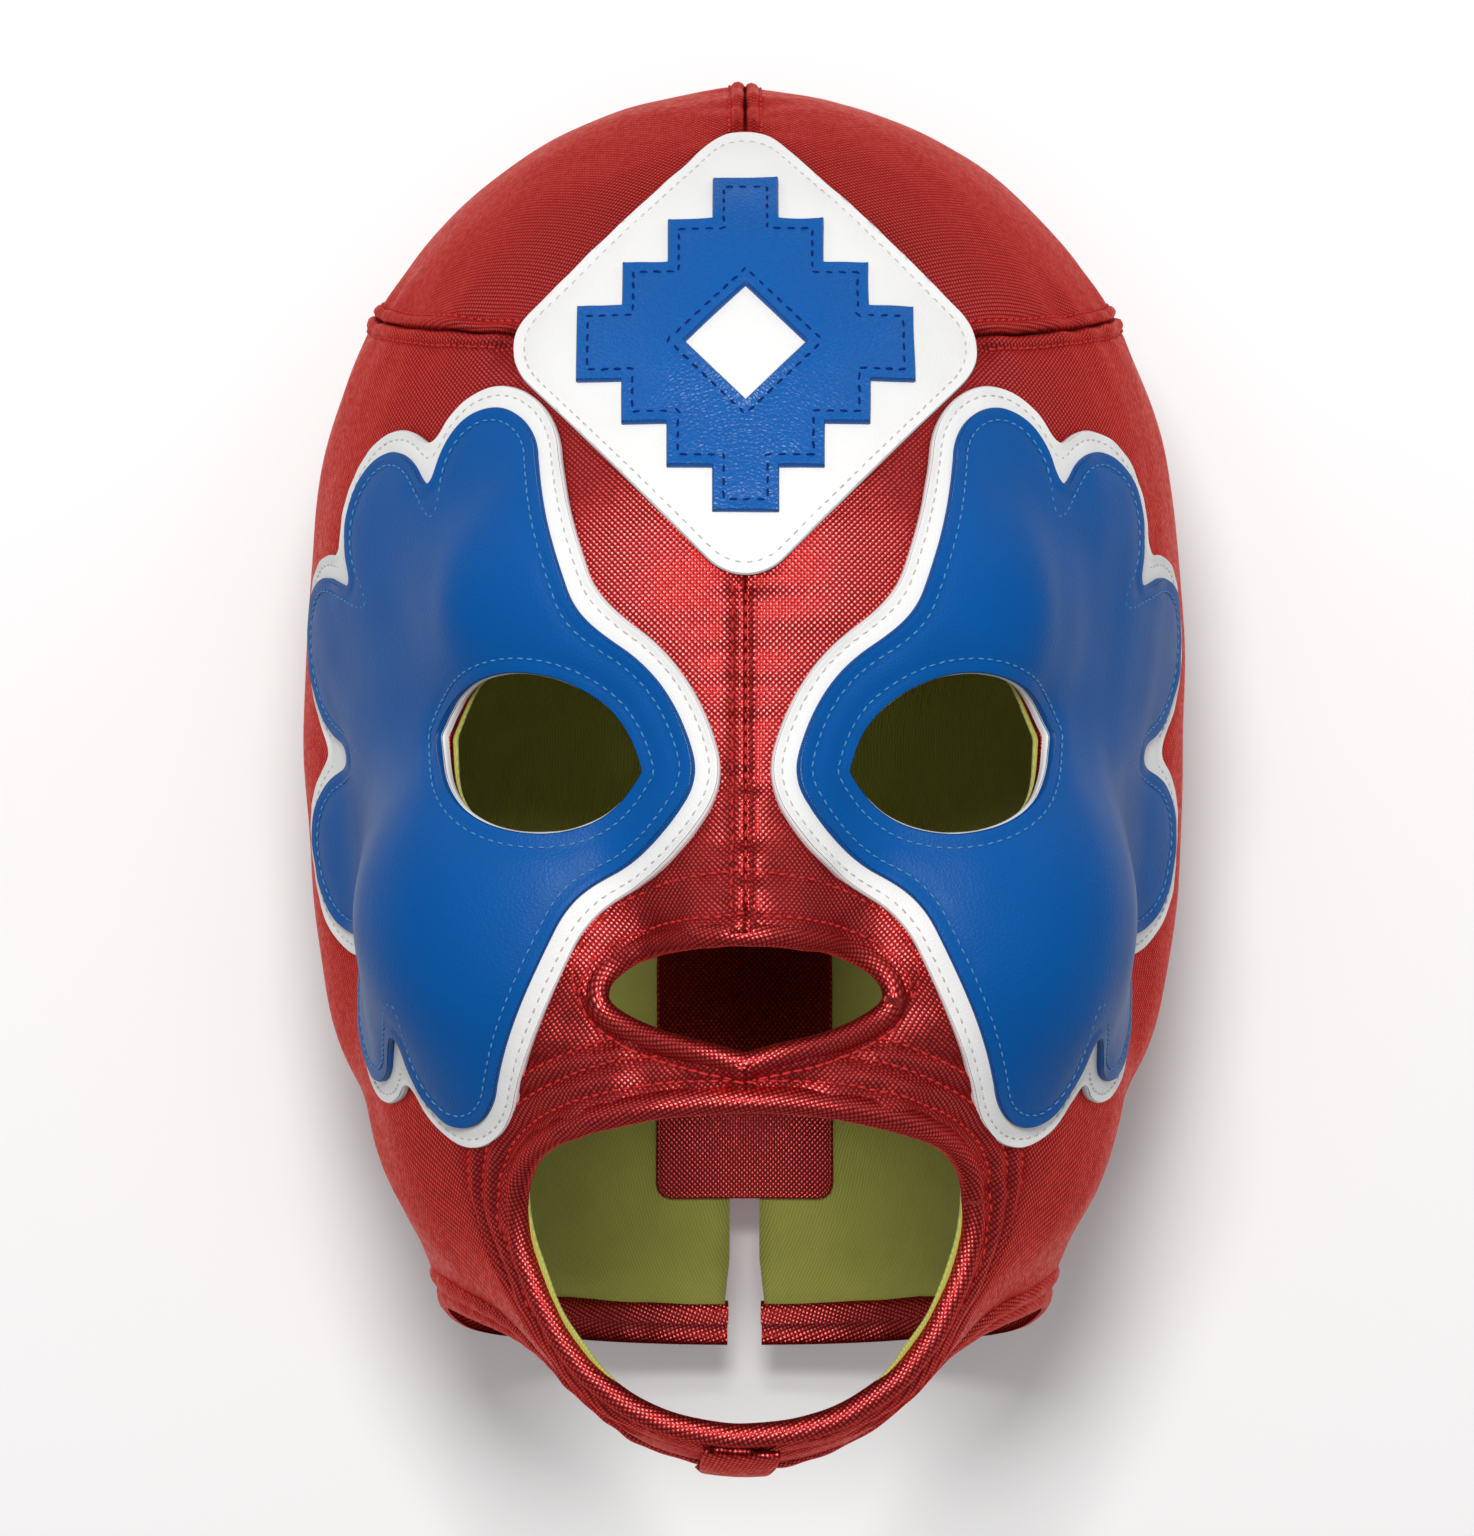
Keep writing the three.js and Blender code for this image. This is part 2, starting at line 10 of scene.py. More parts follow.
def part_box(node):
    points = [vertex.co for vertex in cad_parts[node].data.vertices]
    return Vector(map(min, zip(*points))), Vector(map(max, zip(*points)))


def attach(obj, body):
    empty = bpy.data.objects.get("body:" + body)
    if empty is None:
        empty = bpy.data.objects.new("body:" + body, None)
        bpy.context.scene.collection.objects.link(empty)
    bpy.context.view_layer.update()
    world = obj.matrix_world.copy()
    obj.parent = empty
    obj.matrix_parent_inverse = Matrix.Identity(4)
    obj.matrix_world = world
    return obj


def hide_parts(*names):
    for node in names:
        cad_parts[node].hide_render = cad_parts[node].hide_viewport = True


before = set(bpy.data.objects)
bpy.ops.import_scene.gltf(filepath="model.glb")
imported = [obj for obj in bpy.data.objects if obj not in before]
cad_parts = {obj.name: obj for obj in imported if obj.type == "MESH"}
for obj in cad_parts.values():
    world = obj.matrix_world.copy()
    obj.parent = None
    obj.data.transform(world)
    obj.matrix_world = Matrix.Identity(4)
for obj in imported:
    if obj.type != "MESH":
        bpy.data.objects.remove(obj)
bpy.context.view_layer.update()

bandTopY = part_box("lacing_band_left")[1].y * 1000

# Sizes are millimetres on the worn head: x to the picture's right, y to the crown, z out of the face,
# with the eye line at y = 0. toFrame turns them into the frame's metres.
headForm = {
    "rayCentre": (0, -5, -2),  # the charts look out from here
    "flatDepth": 98,  # how far back the spot is that the mask lies on
    "lobes": [  # centre, radii, blend, one on each side
        ((0, 34, -7), (79, 88, 93), 1, False),  # skull
        ((0, -2, -34), (60, 60, 68), 26, False),  # back of the head
        ((0, -38, 30), (64, 72, 58), 24, False),  # face
        ((0, -60, 8), (66, 50, 52), 20, False),  # jaw
        ((0, -94, 58), (32, 27, 30), 24, False),  # chin
        ((0, -100, -22), (55, 80, 50), 22, False),  # neck
        ((0, 26, 72), (46, 18, 14), 22, False),  # brow
        ((0, -66, 78), (28, 22, 18), 18, False),  # upper lip
        ((42, -28, 60), (20, 20, 18), 22, True),  # cheekbones
        ((66, -18, -10), (12, 36, 24), 20, True),  # ears
    ],
    "noseBridge": {"start": (0, 0, 79), "end": (0, -37, 94), "radius": 10, "blend": 16},
    "reach": 210,  # no ray is longer
}
layer = {  # heights over the fabric's outer face, of the underside and the top for vinyl
    "lining": -1.6,
    "tongue": -3.0,
    "white": (0.1, 1.25),
    "blue": (1.25, 2.3),
    "band": 1.25,
}
bandTop = 1.3  # the bands' outer face in the solids, which the mask lies on
weaveUnit = 100  # millimetres of cloth to one unit of the weave's coordinates
slitTop, slitHalf = 45, 3.0
rayCentre = np.array(headForm["rayCentre"], float)
headShift = np.array([0, bandTopY - slitTop, headForm["flatDepth"] + bandTop])


def toFrame(points):
    return (np.asarray(points) + headShift) / 1000


def unit(vectors):
    return vectors / np.linalg.norm(vectors, axis=-1, keepdims=True)


def columns(*values):  # numbers or arrays, side by side
    return np.stack(np.broadcast_arrays(*values), -1)


def circle(count):
    angle = np.linspace(0, 2 * math.pi, count, endpoint=False)
    return columns(np.cos(angle), np.sin(angle))


def halve(low, high, isBeyond, rounds):  # closes in on the place where isBeyond turns true
    for _ in range(rounds):
        middle = (low + high) / 2
        beyond = isBeyond(middle)
        low, high = np.where(beyond, low, middle), np.where(beyond, middle, high)
    return low, high


def ramp(value):
    return np.clip(value, 0, 1)


def bell(distance, width):
    return np.exp(-((distance / width) ** 2))


def blendMin(a, b, width):
    share = np.maximum(width - np.abs(a - b), 0) / width
    return np.minimum(a, b) - share * share * width / 4


def lobeGap(points, centre, radii):
    offset = points - np.array(centre, float)
    near = np.sqrt(((offset / radii) ** 2).sum(-1))
    slope = np.sqrt(((offset / np.square(radii)) ** 2).sum(-1))
    return near * (near - 1) / np.maximum(slope, 1e-9)


def formGap(points):  # about how far outside the head form
    gap = None
    for centre, radii, blend, paired in headForm["lobes"]:
        for side in (-1, 1) if paired else (1,):
            one = lobeGap(points * np.array([side, 1, 1]), centre, np.array(radii, float))
            gap = one if gap is None else blendMin(gap, one, blend)
    bridge = headForm["noseBridge"]
    start, end = (np.array(bridge[key], float) for key in ("start", "end"))
    line = end - start
    share = ramp(((points - start) @ line) / (line @ line))
    fromLine = np.linalg.norm(points - start - share[..., None] * line, axis=-1)
    gap = blendMin(gap, fromLine - bridge["radius"], bridge["blend"])
    return -blendMin(-gap, headForm["flatDepth"] + points[..., 2], 1)


def surfaceAt(directions, origins=rayCentre):  # where rays from inside meet the surface
    directions = np.atleast_2d(directions)
    origins = np.broadcast_to(origins, directions.shape)
    count, nudge = len(directions), 0.05

    def gapAt(reach):
        return formGap(origins + directions * reach[:, None])

    far = np.full(count, float(headForm["reach"]))
    inside, outside = halve(np.zeros(count), far, lambda reach: gapAt(reach) >= 0, 11)
    reach = (inside + outside) / 2
    for _ in range(2):
        here = gapAt(reach)
        growth = np.maximum(gapAt(reach + nudge) - here, 1e-4)
        reach = np.clip(reach - here * nudge / growth, inside - 0.2, outside + 0.2)
    return origins + directions * reach[:, None]


def normalsAt(points, step=0.4):
    return unit(columns(*[formGap(points + move) - formGap(points - move) for move in np.eye(3) * step]))


# Charts that lay the head's surface out flat
sideScale = (1.35, 1.75)  # chart millimetres for a degree round and a degree down
crownScale = 1.7


def rays(turn, fall):  # turn is round the head from the nose, fall is down from the crown
    turn, fall = np.radians(turn), np.radians(fall)
    return columns(np.sin(fall) * np.sin(turn), np.cos(fall), np.sin(fall) * np.cos(turn))


def turnAndFall(points):
    offset = points - rayCentre
    fall = np.degrees(np.arccos(offset[:, 1] / np.linalg.norm(offset, axis=1)))
    return np.degrees(np.arctan2(offset[:, 0], offset[:, 2])), fall


def fromSideChart(flat):
    return surfaceAt(rays(flat[:, 0] / sideScale[0], -flat[:, 1] / sideScale[1]))


def toSideChart(points):
    turn, fall = turnAndFall(points)
    return columns(turn * sideScale[0], -fall * sideScale[1])


def fromCrownChart(flat):
    turn = np.degrees(np.arctan2(flat[:, 0], flat[:, 1]))
    return surfaceAt(rays(turn, np.hypot(flat[:, 0], flat[:, 1]) / crownScale))


def toCrownChart(points):
    turn, fall = turnAndFall(points)
    turn = np.radians(turn)
    return columns(np.sin(turn), np.cos(turn)) * (fall * crownScale)[:, None]


def lengthsAlong(line):
    return np.concatenate([[0], np.cumsum(np.linalg.norm(np.diff(line, axis=0), axis=1))])


wrapTurns = np.arange(0, 151.0)
wrapLengths = lengthsAlong(surfaceAt(rays(wrapTurns, 90.0), np.array([0, 0, rayCentre[2]])))


def fromWrapChart(flat):  # across is measured round the face at the eye line, up is the height
    turn = np.sign(flat[:, 0]) * np.interp(np.abs(flat[:, 0]), wrapLengths, wrapTurns)
    return surfaceAt(rays(turn, 90.0), columns(0, flat[:, 1], rayCentre[2]))


def fromFrontChart(flat, way=1.0):
    return surfaceAt(np.tile([0, 0, way], (len(flat), 1)), columns(flat[:, 0], flat[:, 1], 0))


def fromBackChart(flat):
    return fromFrontChart(flat, -1.0)


# Lengths along the surface, so that the weave keeps its size all over
arcStep = 4.0
arcTurns, arcFalls = np.arange(0, 181, arcStep), np.arange(0, 165, arcStep)
arcGrid = surfaceAt(rays(arcTurns[:, None], arcFalls).reshape(-1, 3)).reshape(len(arcTurns), -1, 3)
arcRound = np.pad(np.linalg.norm(np.diff(arcGrid, axis=0), axis=2).cumsum(0), ((1, 0), (0, 0)))
arcDown = np.pad(np.linalg.norm(np.diff(arcGrid, axis=1), axis=2).cumsum(1), ((0, 0), (1, 0)))


def readTable(table, turn, fall):
    across = np.clip(np.abs(turn) / arcStep, 0, len(arcTurns) - 1.001)
    down = np.clip(fall / arcStep, 0, len(arcFalls) - 1.001)
    i, j = across.astype(int), down.astype(int)
    across, down = across - i, down - j
    low = table[i, j] * (1 - across) + table[i + 1, j] * across
    high = table[i, j + 1] * (1 - across) + table[i + 1, j + 1] * across
    return low * (1 - down) + high * down


def sideWeave(points):
    turn, fall = turnAndFall(points)
    return columns(np.sign(turn) * readTable(arcRound, turn, fall), -readTable(arcDown, turn, fall))


def crownWeave(points):
    turn, fall = turnAndFall(points)
    down, turn = readTable(arcDown, turn, fall), np.radians(turn)
    return columns(down * np.sin(turn), down * np.cos(turn))


# Outlines
def roundLoop(points):
    return np.concatenate([points, points[:1]])


def readAlong(line, lengths, at):
    return columns(*[np.interp(at, lengths, line[:, k]) for k in range(line.shape[1])])


def resample(points, spacing, closed=True):
    line = roundLoop(points) if closed else points
    lengths = lengthsAlong(line)
    count = max(4, int(round(lengths[-1] / spacing)))
    at = np.linspace(0, lengths[-1], count if closed else count + 1, endpoint=not closed)
    return readAlong(line, lengths, at)


def turnsLeft(loop):
    x, y = loop[:, 0], loop[:, 1]
    return (x * np.roll(y, -1) - y * np.roll(x, -1)).sum() > 0


def facing(loop, left=True):
    return loop if turnsLeft(loop) == left else loop[::-1]


def inset(loop, width):  # to the left of its direction
    along = unit(np.roll(loop, -1, axis=0) - np.roll(loop, 1, axis=0))
    return loop + width * columns(-along[:, 1], along[:, 0])


eye = {"across": 38.5, "up": 1, "halfLength": 21, "halfHeight": 14, "tilt": 8, "rim": 9.5}
surround = {
    "body": (62, -2, 30, 10),  # across, up, radius, blend
    "scallops": [  # bearing, reach and tip radius, the uppermost first
        (76, 60, 12),
        (45, 68, 13.5),
        (15, 79, 14.5),
        (-15, 82, 14.5),
        (-44, 76, 13.5),
        (-72, 66, 10.5),
    ],
    "root": (12, 16, 5),  # distance from the eye, radius, blend
    "border": 4,  # white that shows round the blue
    "whiteHole": -0.45,  # the white's eye opening, measured from the blue's
    "eyeStitches": 2.4,
    "reach": 110,  # farther out than any of it
}


def eyeField(flat):  # distance from an almond of two arcs
    tilt = math.radians(eye["tilt"])
    dx, dy = flat[:, 0] - eye["across"], flat[:, 1] - eye["up"]
    along = np.abs(dx * math.cos(tilt) + dy * math.sin(tilt))
    above = np.abs(dy * math.cos(tilt) - dx * math.sin(tilt))
    length, height = eye["halfLength"], eye["halfHeight"]
    radius = (length**2 + height**2) / (2 * height)
    drop = radius - height
    atCorner = (along - length) * drop > above * length
    return np.where(atCorner, np.hypot(above, along - length), np.hypot(above + drop, along) - radius)


def surroundField(flat):  # the eye's rim, the body and the scallops run together
    bodyX, bodyY, bodyRadius, bodyBlend = surround["body"]
    distance, rootRadius, blend = surround["root"]
    body = np.hypot(flat[:, 0] - bodyX, flat[:, 1] - bodyY) - bodyRadius
    field = blendMin(eyeField(flat) - eye["rim"], body, bodyBlend)
    for bearing, reach, tip in surround["scallops"]:
        c, s = math.cos(math.radians(bearing)), math.sin(math.radians(bearing))
        span = reach - tip - distance
        dx = flat[:, 0] - eye["across"] - distance * c
        dy = flat[:, 1] - eye["up"] - distance * s
        share = ramp((dx * c + dy * s) / span)
        lobe = np.hypot(dx - share * span * c, dy - share * span * s)
        field = blendMin(field, lobe - (rootRadius + (tip - rootRadius) * share), blend)
    return field


def traceField(field, level, spacing, count=1440):  # the line round the eye where the field has this level
    direction = circle(count)
    middle = np.array([eye["across"], eye["up"]], float)

    def isBeyond(reach):
        return field(middle + direction * reach[:, None]) >= level

    inside = halve(np.zeros(count), np.full(count, float(surround["reach"])), isBeyond, 26)[0]
    return resample(middle + direction * inside[:, None], spacing)


patch = {
    "up": 70,
    "reach": 43,  # from the middle to where the diamond's corners would be
    "corner": 9,
    "hole": 10,
    "steps": ((28, 6.5), (20.5, 14), (13, 21.5), (5.5, 29)),
}
nose = {"up": -40, "halfWidth": 23.5, "rise": 9.5, "drop": 9.5}
mouth = {"fall": 131.2, "halfFall": 12.6, "halfTurn": 28.5}
neck = {
    "turns": (0, 30, 60, 90, 120, 150, 180),
    "falls": (152.5, 151, 148.5, 147, 146, 145, 145),
    "slitTurn": 179,  # where the hem starts and ends, beside the slit
}


def neckFall(turn):
    return np.interp(np.abs(turn), neck["turns"], neck["falls"])


def noseLoop():  # round above, drawn to a point in the middle below
    across, up = circle(240).T
    low = nose["drop"] * (0.5 * up - 0.5 * (1 - np.abs(across)))
    height = nose["up"] + np.where(up >= 0, nose["rise"] * up, low)
    return fromFrontChart(resample(columns(nose["halfWidth"] * across, height), 0.8))


def mouthLoop():
    across, up = circle(300).T
    fall = mouth["fall"] - mouth["halfFall"] * up
    widening = math.sin(math.radians(mouth["fall"])) / np.sin(np.radians(fall))
    return resample(surfaceAt(rays(mouth["halfTurn"] * across * widening, fall)), 0.8)


def neckLine():  # from one side of the slit round the front to the other
    turn = np.linspace(neck["slitTurn"], -neck["slitTurn"], 360)
    return resample(surfaceAt(rays(turn, neckFall(turn))), 1.0, closed=False)


def edgeFrames(points, closed=True):  # the points, the surface's normals and the way out from the edge
    if closed:
        along = np.roll(points, -1, axis=0) - np.roll(points, 1, axis=0)
    else:
        along = np.gradient(points, axis=0)
    normals = normalsAt(points)
    return points, normals, unit(np.cross(unit(along), normals))


def offsetLine(frames, width):  # a line beside the edge, back on the surface
    points, _, outward = frames
    return surfaceAt(unit(points + outward * np.asarray(width)[..., None] - rayCentre))


noseEdge = edgeFrames(noseLoop())
mouthEdge = edgeFrames(mouthLoop())
neckEdge = edgeFrames(neckLine(), closed=False)

# The seam across the crown and round the head, above the brow
crossSeam = {"height": 80.4, "rise": 0.12, "falls": (15.0, 75.0)}  # it is looked for between these falls


def seamFall(turn):
    def isBelow(fall):
        points = surfaceAt(rays(turn, fall))
        return points[:, 1] <= crossSeam["height"] - crossSeam["rise"] * points[:, 2]

    least, most = crossSeam["falls"]
    low, high = halve(np.full(len(turn), least), np.full(len(turn), most), isBelow, 22)
    return (low + high) / 2


seamTurns = np.linspace(-180, 180, 361)
seamFalls = seamFall(seamTurns)
frontFall, backFall = seamFalls[180], seamFalls[-1]
seamLine = surfaceAt(rays(seamTurns, seamFalls))
print("head form, charts and outlines ready")


def nearest(points, line):
    tree = KDTree(len(line))
    for i, point in enumerate(line):
        tree.insert(point, i)
    tree.balance()
    return np.array([tree.find(point)[2] for point in points])


def waves(points, size, count, seed):  # soft seeded bumps about this size across
    rng = np.random.default_rng(seed)
    total = np.zeros(len(points))
    for _ in range(count):
        direction = rng.normal(size=3)
        direction *= rng.uniform(0.6, 1.4) * 2 * math.pi / size / np.linalg.norm(direction)
        total += np.sin(points @ direction + rng.uniform(0, 2 * math.pi))
    return total / math.sqrt(count / 2)


# How the sewn fabric stands off the form
seamLook = {
    "ridge": 0.4,  # height of the doubled fabric beside the join
    "shoulder": 0.5,  # how far past the stitches it takes to fall away
    "swell": (0.4, 1.4, 1.2),  # height, middle and half width of the roll beside the join
    "groove": (0.7, 0.38),  # depth and width at the join
    "stitchAt": 2.8,
    "dimple": (0.45, 0.45),
    "crossing": 1.5,  # how far past its stitches the cross seam flattens the others
    "crossingHeight": 0.4,  # what is left of them there
    "pucker": 0.425,
    "puckerReach": 6.0,
    "puckerStretch": 0.3,  # lower draws the puckers out beside the seam
    "puckerWaves": (6, 5, 3),  # size, number and seed
    "crossWaves": (7, 5, 4),
    "openingWaves": (9, 6, 5),
    "openingReach": 8,
}
frontSeamLook = {  # pressed to one side, so its stitches are left of the join
    "height": 0.75,
    "left": (-3.0, 0.7),  # where the doubled fabric starts, and how soon it has risen
    "right": (1.15, 0.25),
    "swells": ((0.3, 0.0, 1.2), (0.2, -1.1, 0.9)),
    "fold": (0.45, 1.35, 0.35),  # depth, place and width of the join
    "stitches": (-2.2, 0.0),
    "dimple": (0.28, 0.3),
}
noseFacing = {  # the doubled fabric round the nose
    "over": 12.5,
    "under": 4.4,
    "narrowing": 0.8,  # lower keeps it wide farther down the sides
    "row": 4.6,
    "height": 0.4,
    "edge": 0.7,
    "step": (0.12, 1.2, 0.8),  # depth outside its edge, how far it goes on, how soon it ends
}
mouthFacing = {
    "rows": (5.6, 10.2, 14.2),  # stitch rows round the mouth, the outermost at its sides only
    "groove": (0.22, 0.15, 0.55),  # depth, what the sides have more, width
    "roll": 0.55,  # height of the folds between the rows
    "height": 0.4,
    "edge": 0.9,
    "besideFrom": 17,  # from the middle to where the sides' folds start
    "besideFade": 5,
    "outerRowFrom": 19,
}
slackLook = {  # height, stretch along x, y and z, then size, number and seed of the waves
    "broad": (0.12, (1, 1, 1), (32, 6, 6)),
    "fine": (0.08, (1, 0.6, 1), (14, 6, 7)),
}
pressLook = {  # under the vinyl the fabric lies flat
    "fade": 2.5,
    "depth": -0.1,
    "share": 0.3,
    "diamondSlope": 0.7,  # turns steps along x and y into a distance from the diamond's edge
    "spare": 0.05,
}


def slack(points):  # how far the filled fabric leaves the form, on all its layers alike
    (broad, broadStretch, broadWaves), (fine, fineStretch, fineWaves) = slackLook.values()
    total = broad * waves(points * broadStretch, *broadWaves)
    return total + fine * waves(points * fineStretch, *fineWaves)


def swelling(distance, height, middle, halfWidth):
    return height * ramp(1 - ((distance - middle) / halfWidth) ** 2)


def seamProfile(distance):  # pressed open and stitched down on both sides
    stitchAt, shoulder = seamLook["stitchAt"], seamLook["shoulder"]
    ridge = seamLook["ridge"] * ramp((stitchAt + shoulder - distance) / shoulder)
    grooveDepth, grooveWidth = seamLook["groove"]
    dimpleDepth, dimpleWidth = seamLook["dimple"]
    cuts = grooveDepth * bell(distance, grooveWidth) + dimpleDepth * bell(distance - stitchAt, dimpleWidth)
    return ridge + swelling(distance, *seamLook["swell"]) - cuts


def frontSeamProfile(across):
    look = frontSeamLook
    (left, leftRise), (right, rightRise) = look["left"], look["right"]
    band = ramp((across - left) / leftRise) * ramp((right - across) / rightRise)
    swell = sum(swelling(across, *one) for one in look["swells"])
    foldDepth, foldAt, foldWidth = look["fold"]
    dimpleDepth, dimpleWidth = look["dimple"]
    dimples = sum(bell(across - at, dimpleWidth) for at in look["stitches"])
    cuts = foldDepth * bell(across - foldAt, foldWidth) + dimpleDepth * dimples
    return (look["height"] + swell) * band - cuts


def seamDistances(points, normals):  # from the centre seam, and from the cross seam along the surface
    slope = np.array([0, 1.0, crossSeam["rise"]])
    level = points @ slope - crossSeam["height"]
    across = slope - (normals @ slope)[:, None] * normals
    return points[:, 0], level / np.maximum(np.linalg.norm(across, axis=1), 0.25)


def seamZones(points, level):  # where the front seam is, and where the slit is
    return (points[:, 2] > 0) & (level < 0), (points[:, 2] < 0) & (points[:, 1] < slitTop)


def besideMouth(points):
    return ramp((np.abs(points[:, 0]) - mouthFacing["besideFrom"]) / mouthFacing["besideFade"])


# The doubled fabric round the nose is widest over the bridge, and narrow at the corners and below
overNose = ramp((noseEdge[0][:, 1] - nose["up"]) / nose["rise"])
noseFacingWidth = (noseFacing["over"] - noseFacing["under"]) * overNose ** noseFacing["narrowing"]
noseFacingWidth += noseFacing["under"]
noseFacingEdge = offsetLine(noseEdge, noseFacingWidth)


def openingGaps(points):
    return (nearest(points, line) for line in (noseEdge[0], noseFacingEdge, mouthEdge[0]))


def underVinyl(points):  # negative where the white vinyl covers the fabric
    patchGap = np.abs(points[:, 0]) + np.abs(points[:, 1] - patch["up"]) - patch["reach"]
    patchGap *= pressLook["diamondSlope"]
    turn = np.degrees(np.arctan2(points[:, 0], points[:, 2] - rayCentre[2]))
    around = np.interp(np.abs(turn), wrapTurns, wrapLengths)
    eyeGap = surroundField(columns(around, points[:, 1])) - surround["border"]
    return np.where(points[:, 2] > 0, np.minimum(patchGap, eyeGap), eyeGap)


def pressedFlat(points, relief, spare):  # where the mask lies on its back nothing stands past the bands
    return np.minimum(relief, headForm["flatDepth"] + points[:, 2] + bandTop - spare)


def seamRelief(points, normals):
    centre, level = seamDistances(points, normals)
    onFront, atSlit = seamZones(points, level)
    cross, reach = np.abs(level), seamLook["puckerReach"]
    relief = np.where(onFront, frontSeamProfile(centre), seamProfile(np.abs(centre)))
    relief = np.where(atSlit, 0, relief)
    past = cross - seamLook["stitchAt"]
    crossing = np.clip(relief, 0, seamLook["crossingHeight"]) * ramp(past / seamLook["crossing"])
    relief = np.where(past < seamLook["crossing"], crossing + seamProfile(cross), relief)
    stretch = seamLook["puckerStretch"]
    besideCentre = waves(points * [stretch, 1, 1], *seamLook["puckerWaves"])
    besideCross = waves(points * [1, stretch, 1], *seamLook["crossWaves"])
    pucker = np.where(atSlit, 0, np.exp(-np.abs(centre) / reach)) * besideCentre
    return relief, pucker + np.exp(-cross / reach) * besideCross


def noseRelief(points, noseGap, noseOut):
    facingWidth = np.where(points[:, 1] > nose["up"], noseFacing["over"], noseFacing["under"])
    raised = noseFacing["height"] * (noseGap < facingWidth) * ramp(noseOut / noseFacing["edge"])
    depth, end, fade = noseFacing["step"]
    return raised - depth * ramp(end - noseOut / fade)


def mouthRelief(points, mouthGap):
    rows, edge = mouthFacing["rows"], mouthFacing["edge"]
    depth, more, width = mouthFacing["groove"]
    beside = besideMouth(points)
    relief = mouthFacing["height"] * ramp((rows[1] - mouthGap) / edge)
    relief += mouthFacing["height"] * 0.5 * beside * ramp((rows[2] - mouthGap) / edge)
    for row, share in zip(rows, (1, 1, beside)):
        relief -= (depth + more * beside) * share * bell(mouthGap - row, width)
    for low, high in zip(rows, rows[1:]):
        along = ramp((mouthGap - low) / (high - low))
        relief += mouthFacing["roll"] * beside * np.sin(math.pi * along) ** 2
    return relief


def fabricRelief(points, normals):
    relief, pucker = seamRelief(points, normals)
    noseGap, noseOut, mouthGap = openingGaps(points)
    relief = relief + noseRelief(points, noseGap, noseOut) + mouthRelief(points, mouthGap)
    fade = np.exp(-np.minimum(noseGap, mouthGap) / seamLook["openingReach"])
    pucker += fade * waves(points, *seamLook["openingWaves"])
    relief += seamLook["pucker"] * pucker
    pressed = ramp(-underVinyl(points) / pressLook["fade"])
    under = np.minimum(relief, pressLook["depth"]) * pressLook["share"]
    relief = relief * (1 - pressed) + under * pressed + slack(points)
    return pressedFlat(points, relief, pressLook["spare"])


paintedShadeLook = {  # depth of the shade and its width
    "join": (1.0, 0.5),
    "stitches": (0.85, 0.4),
    "cross": (0.9, 0.4),
    "crossStitches": (0.95, 0.45),
    "openings": (0.9, 0.6),
    "vinyl": (0.75, 0.7),
}


def paintedShade(points, normals):  # painted shade along seams, stitch rows, the openings' rows and the vinyl's edges
    centre, level = seamDistances(points, normals)
    onFront, atSlit = seamZones(points, level)
    cross, stitchAt = np.abs(level), seamLook["stitchAt"]
    join = centre - np.where(onFront, frontSeamLook["fold"][1], 0)
    left, right = frontSeamLook["stitches"]
    fromMiddle = np.abs(centre - np.where(onFront, (left + right) / 2, 0))
    row = fromMiddle - np.where(onFront, (right - left) / 2, stitchAt)
    shade = np.zeros(len(points))

    def darken(distance, key, share=1):
        depth, width = paintedShadeLook[key]
        np.maximum(shade, depth * share * bell(distance, width), out=shade)

    darken(join, "join", ~atSlit)
    darken(row, "stitches", ~atSlit)
    darken(cross, "cross")
    darken(cross - stitchAt, "crossStitches")
    noseGap, noseOut, mouthGap = openingGaps(points)
    for width, share in zip(mouthFacing["rows"], (1, 1, besideMouth(points))):
        darken(mouthGap - width, "openings", share)
    darken(noseOut, "openings")
    darken(noseGap - noseFacing["row"], "openings")
    darken(np.maximum(underVinyl(points), 0), "vinyl")
    return shade


# Mesh making
def insideLoops(points, loops, chunk=4000):
    inside = np.zeros(len(points), bool)
    for loop in loops:
        ax, ay = loop[:, 0], loop[:, 1]
        bx, by = np.roll(ax, -1), np.roll(ay, -1)
        slope = (bx - ax) / np.where(by == ay, 1e-12, by - ay)
        for start in range(0, len(points), chunk):
            part = slice(start, start + chunk)
            px, py = points[part, 0, None], points[part, 1, None]
            crossed = ((ay > py) != (by > py)) & (px < slope * (py - ay) + ax)
            inside[part] ^= crossed.sum(1) % 2 == 1
    return inside


def thinOut(groups, cellSize=2.0):  # keeps each point that has no kept one within its group's distance
    kept, cells = [], {}
    for points, distance in groups:
        for x, y in points.tolist():
            i, j = int(x // cellSize), int(y // cellSize)
            near = (
                other
                for a in (i - 1, i, i + 1)
                for b in (j - 1, j, j + 1)
                for other in cells.get((a, b), ())
            )
            if distance > 0 and any((x - u) ** 2 + (y - v) ** 2 < distance * distance for u, v in near):
                continue
            cells.setdefault((i, j), []).append((x, y))
            kept.append((x, y))
    return kept


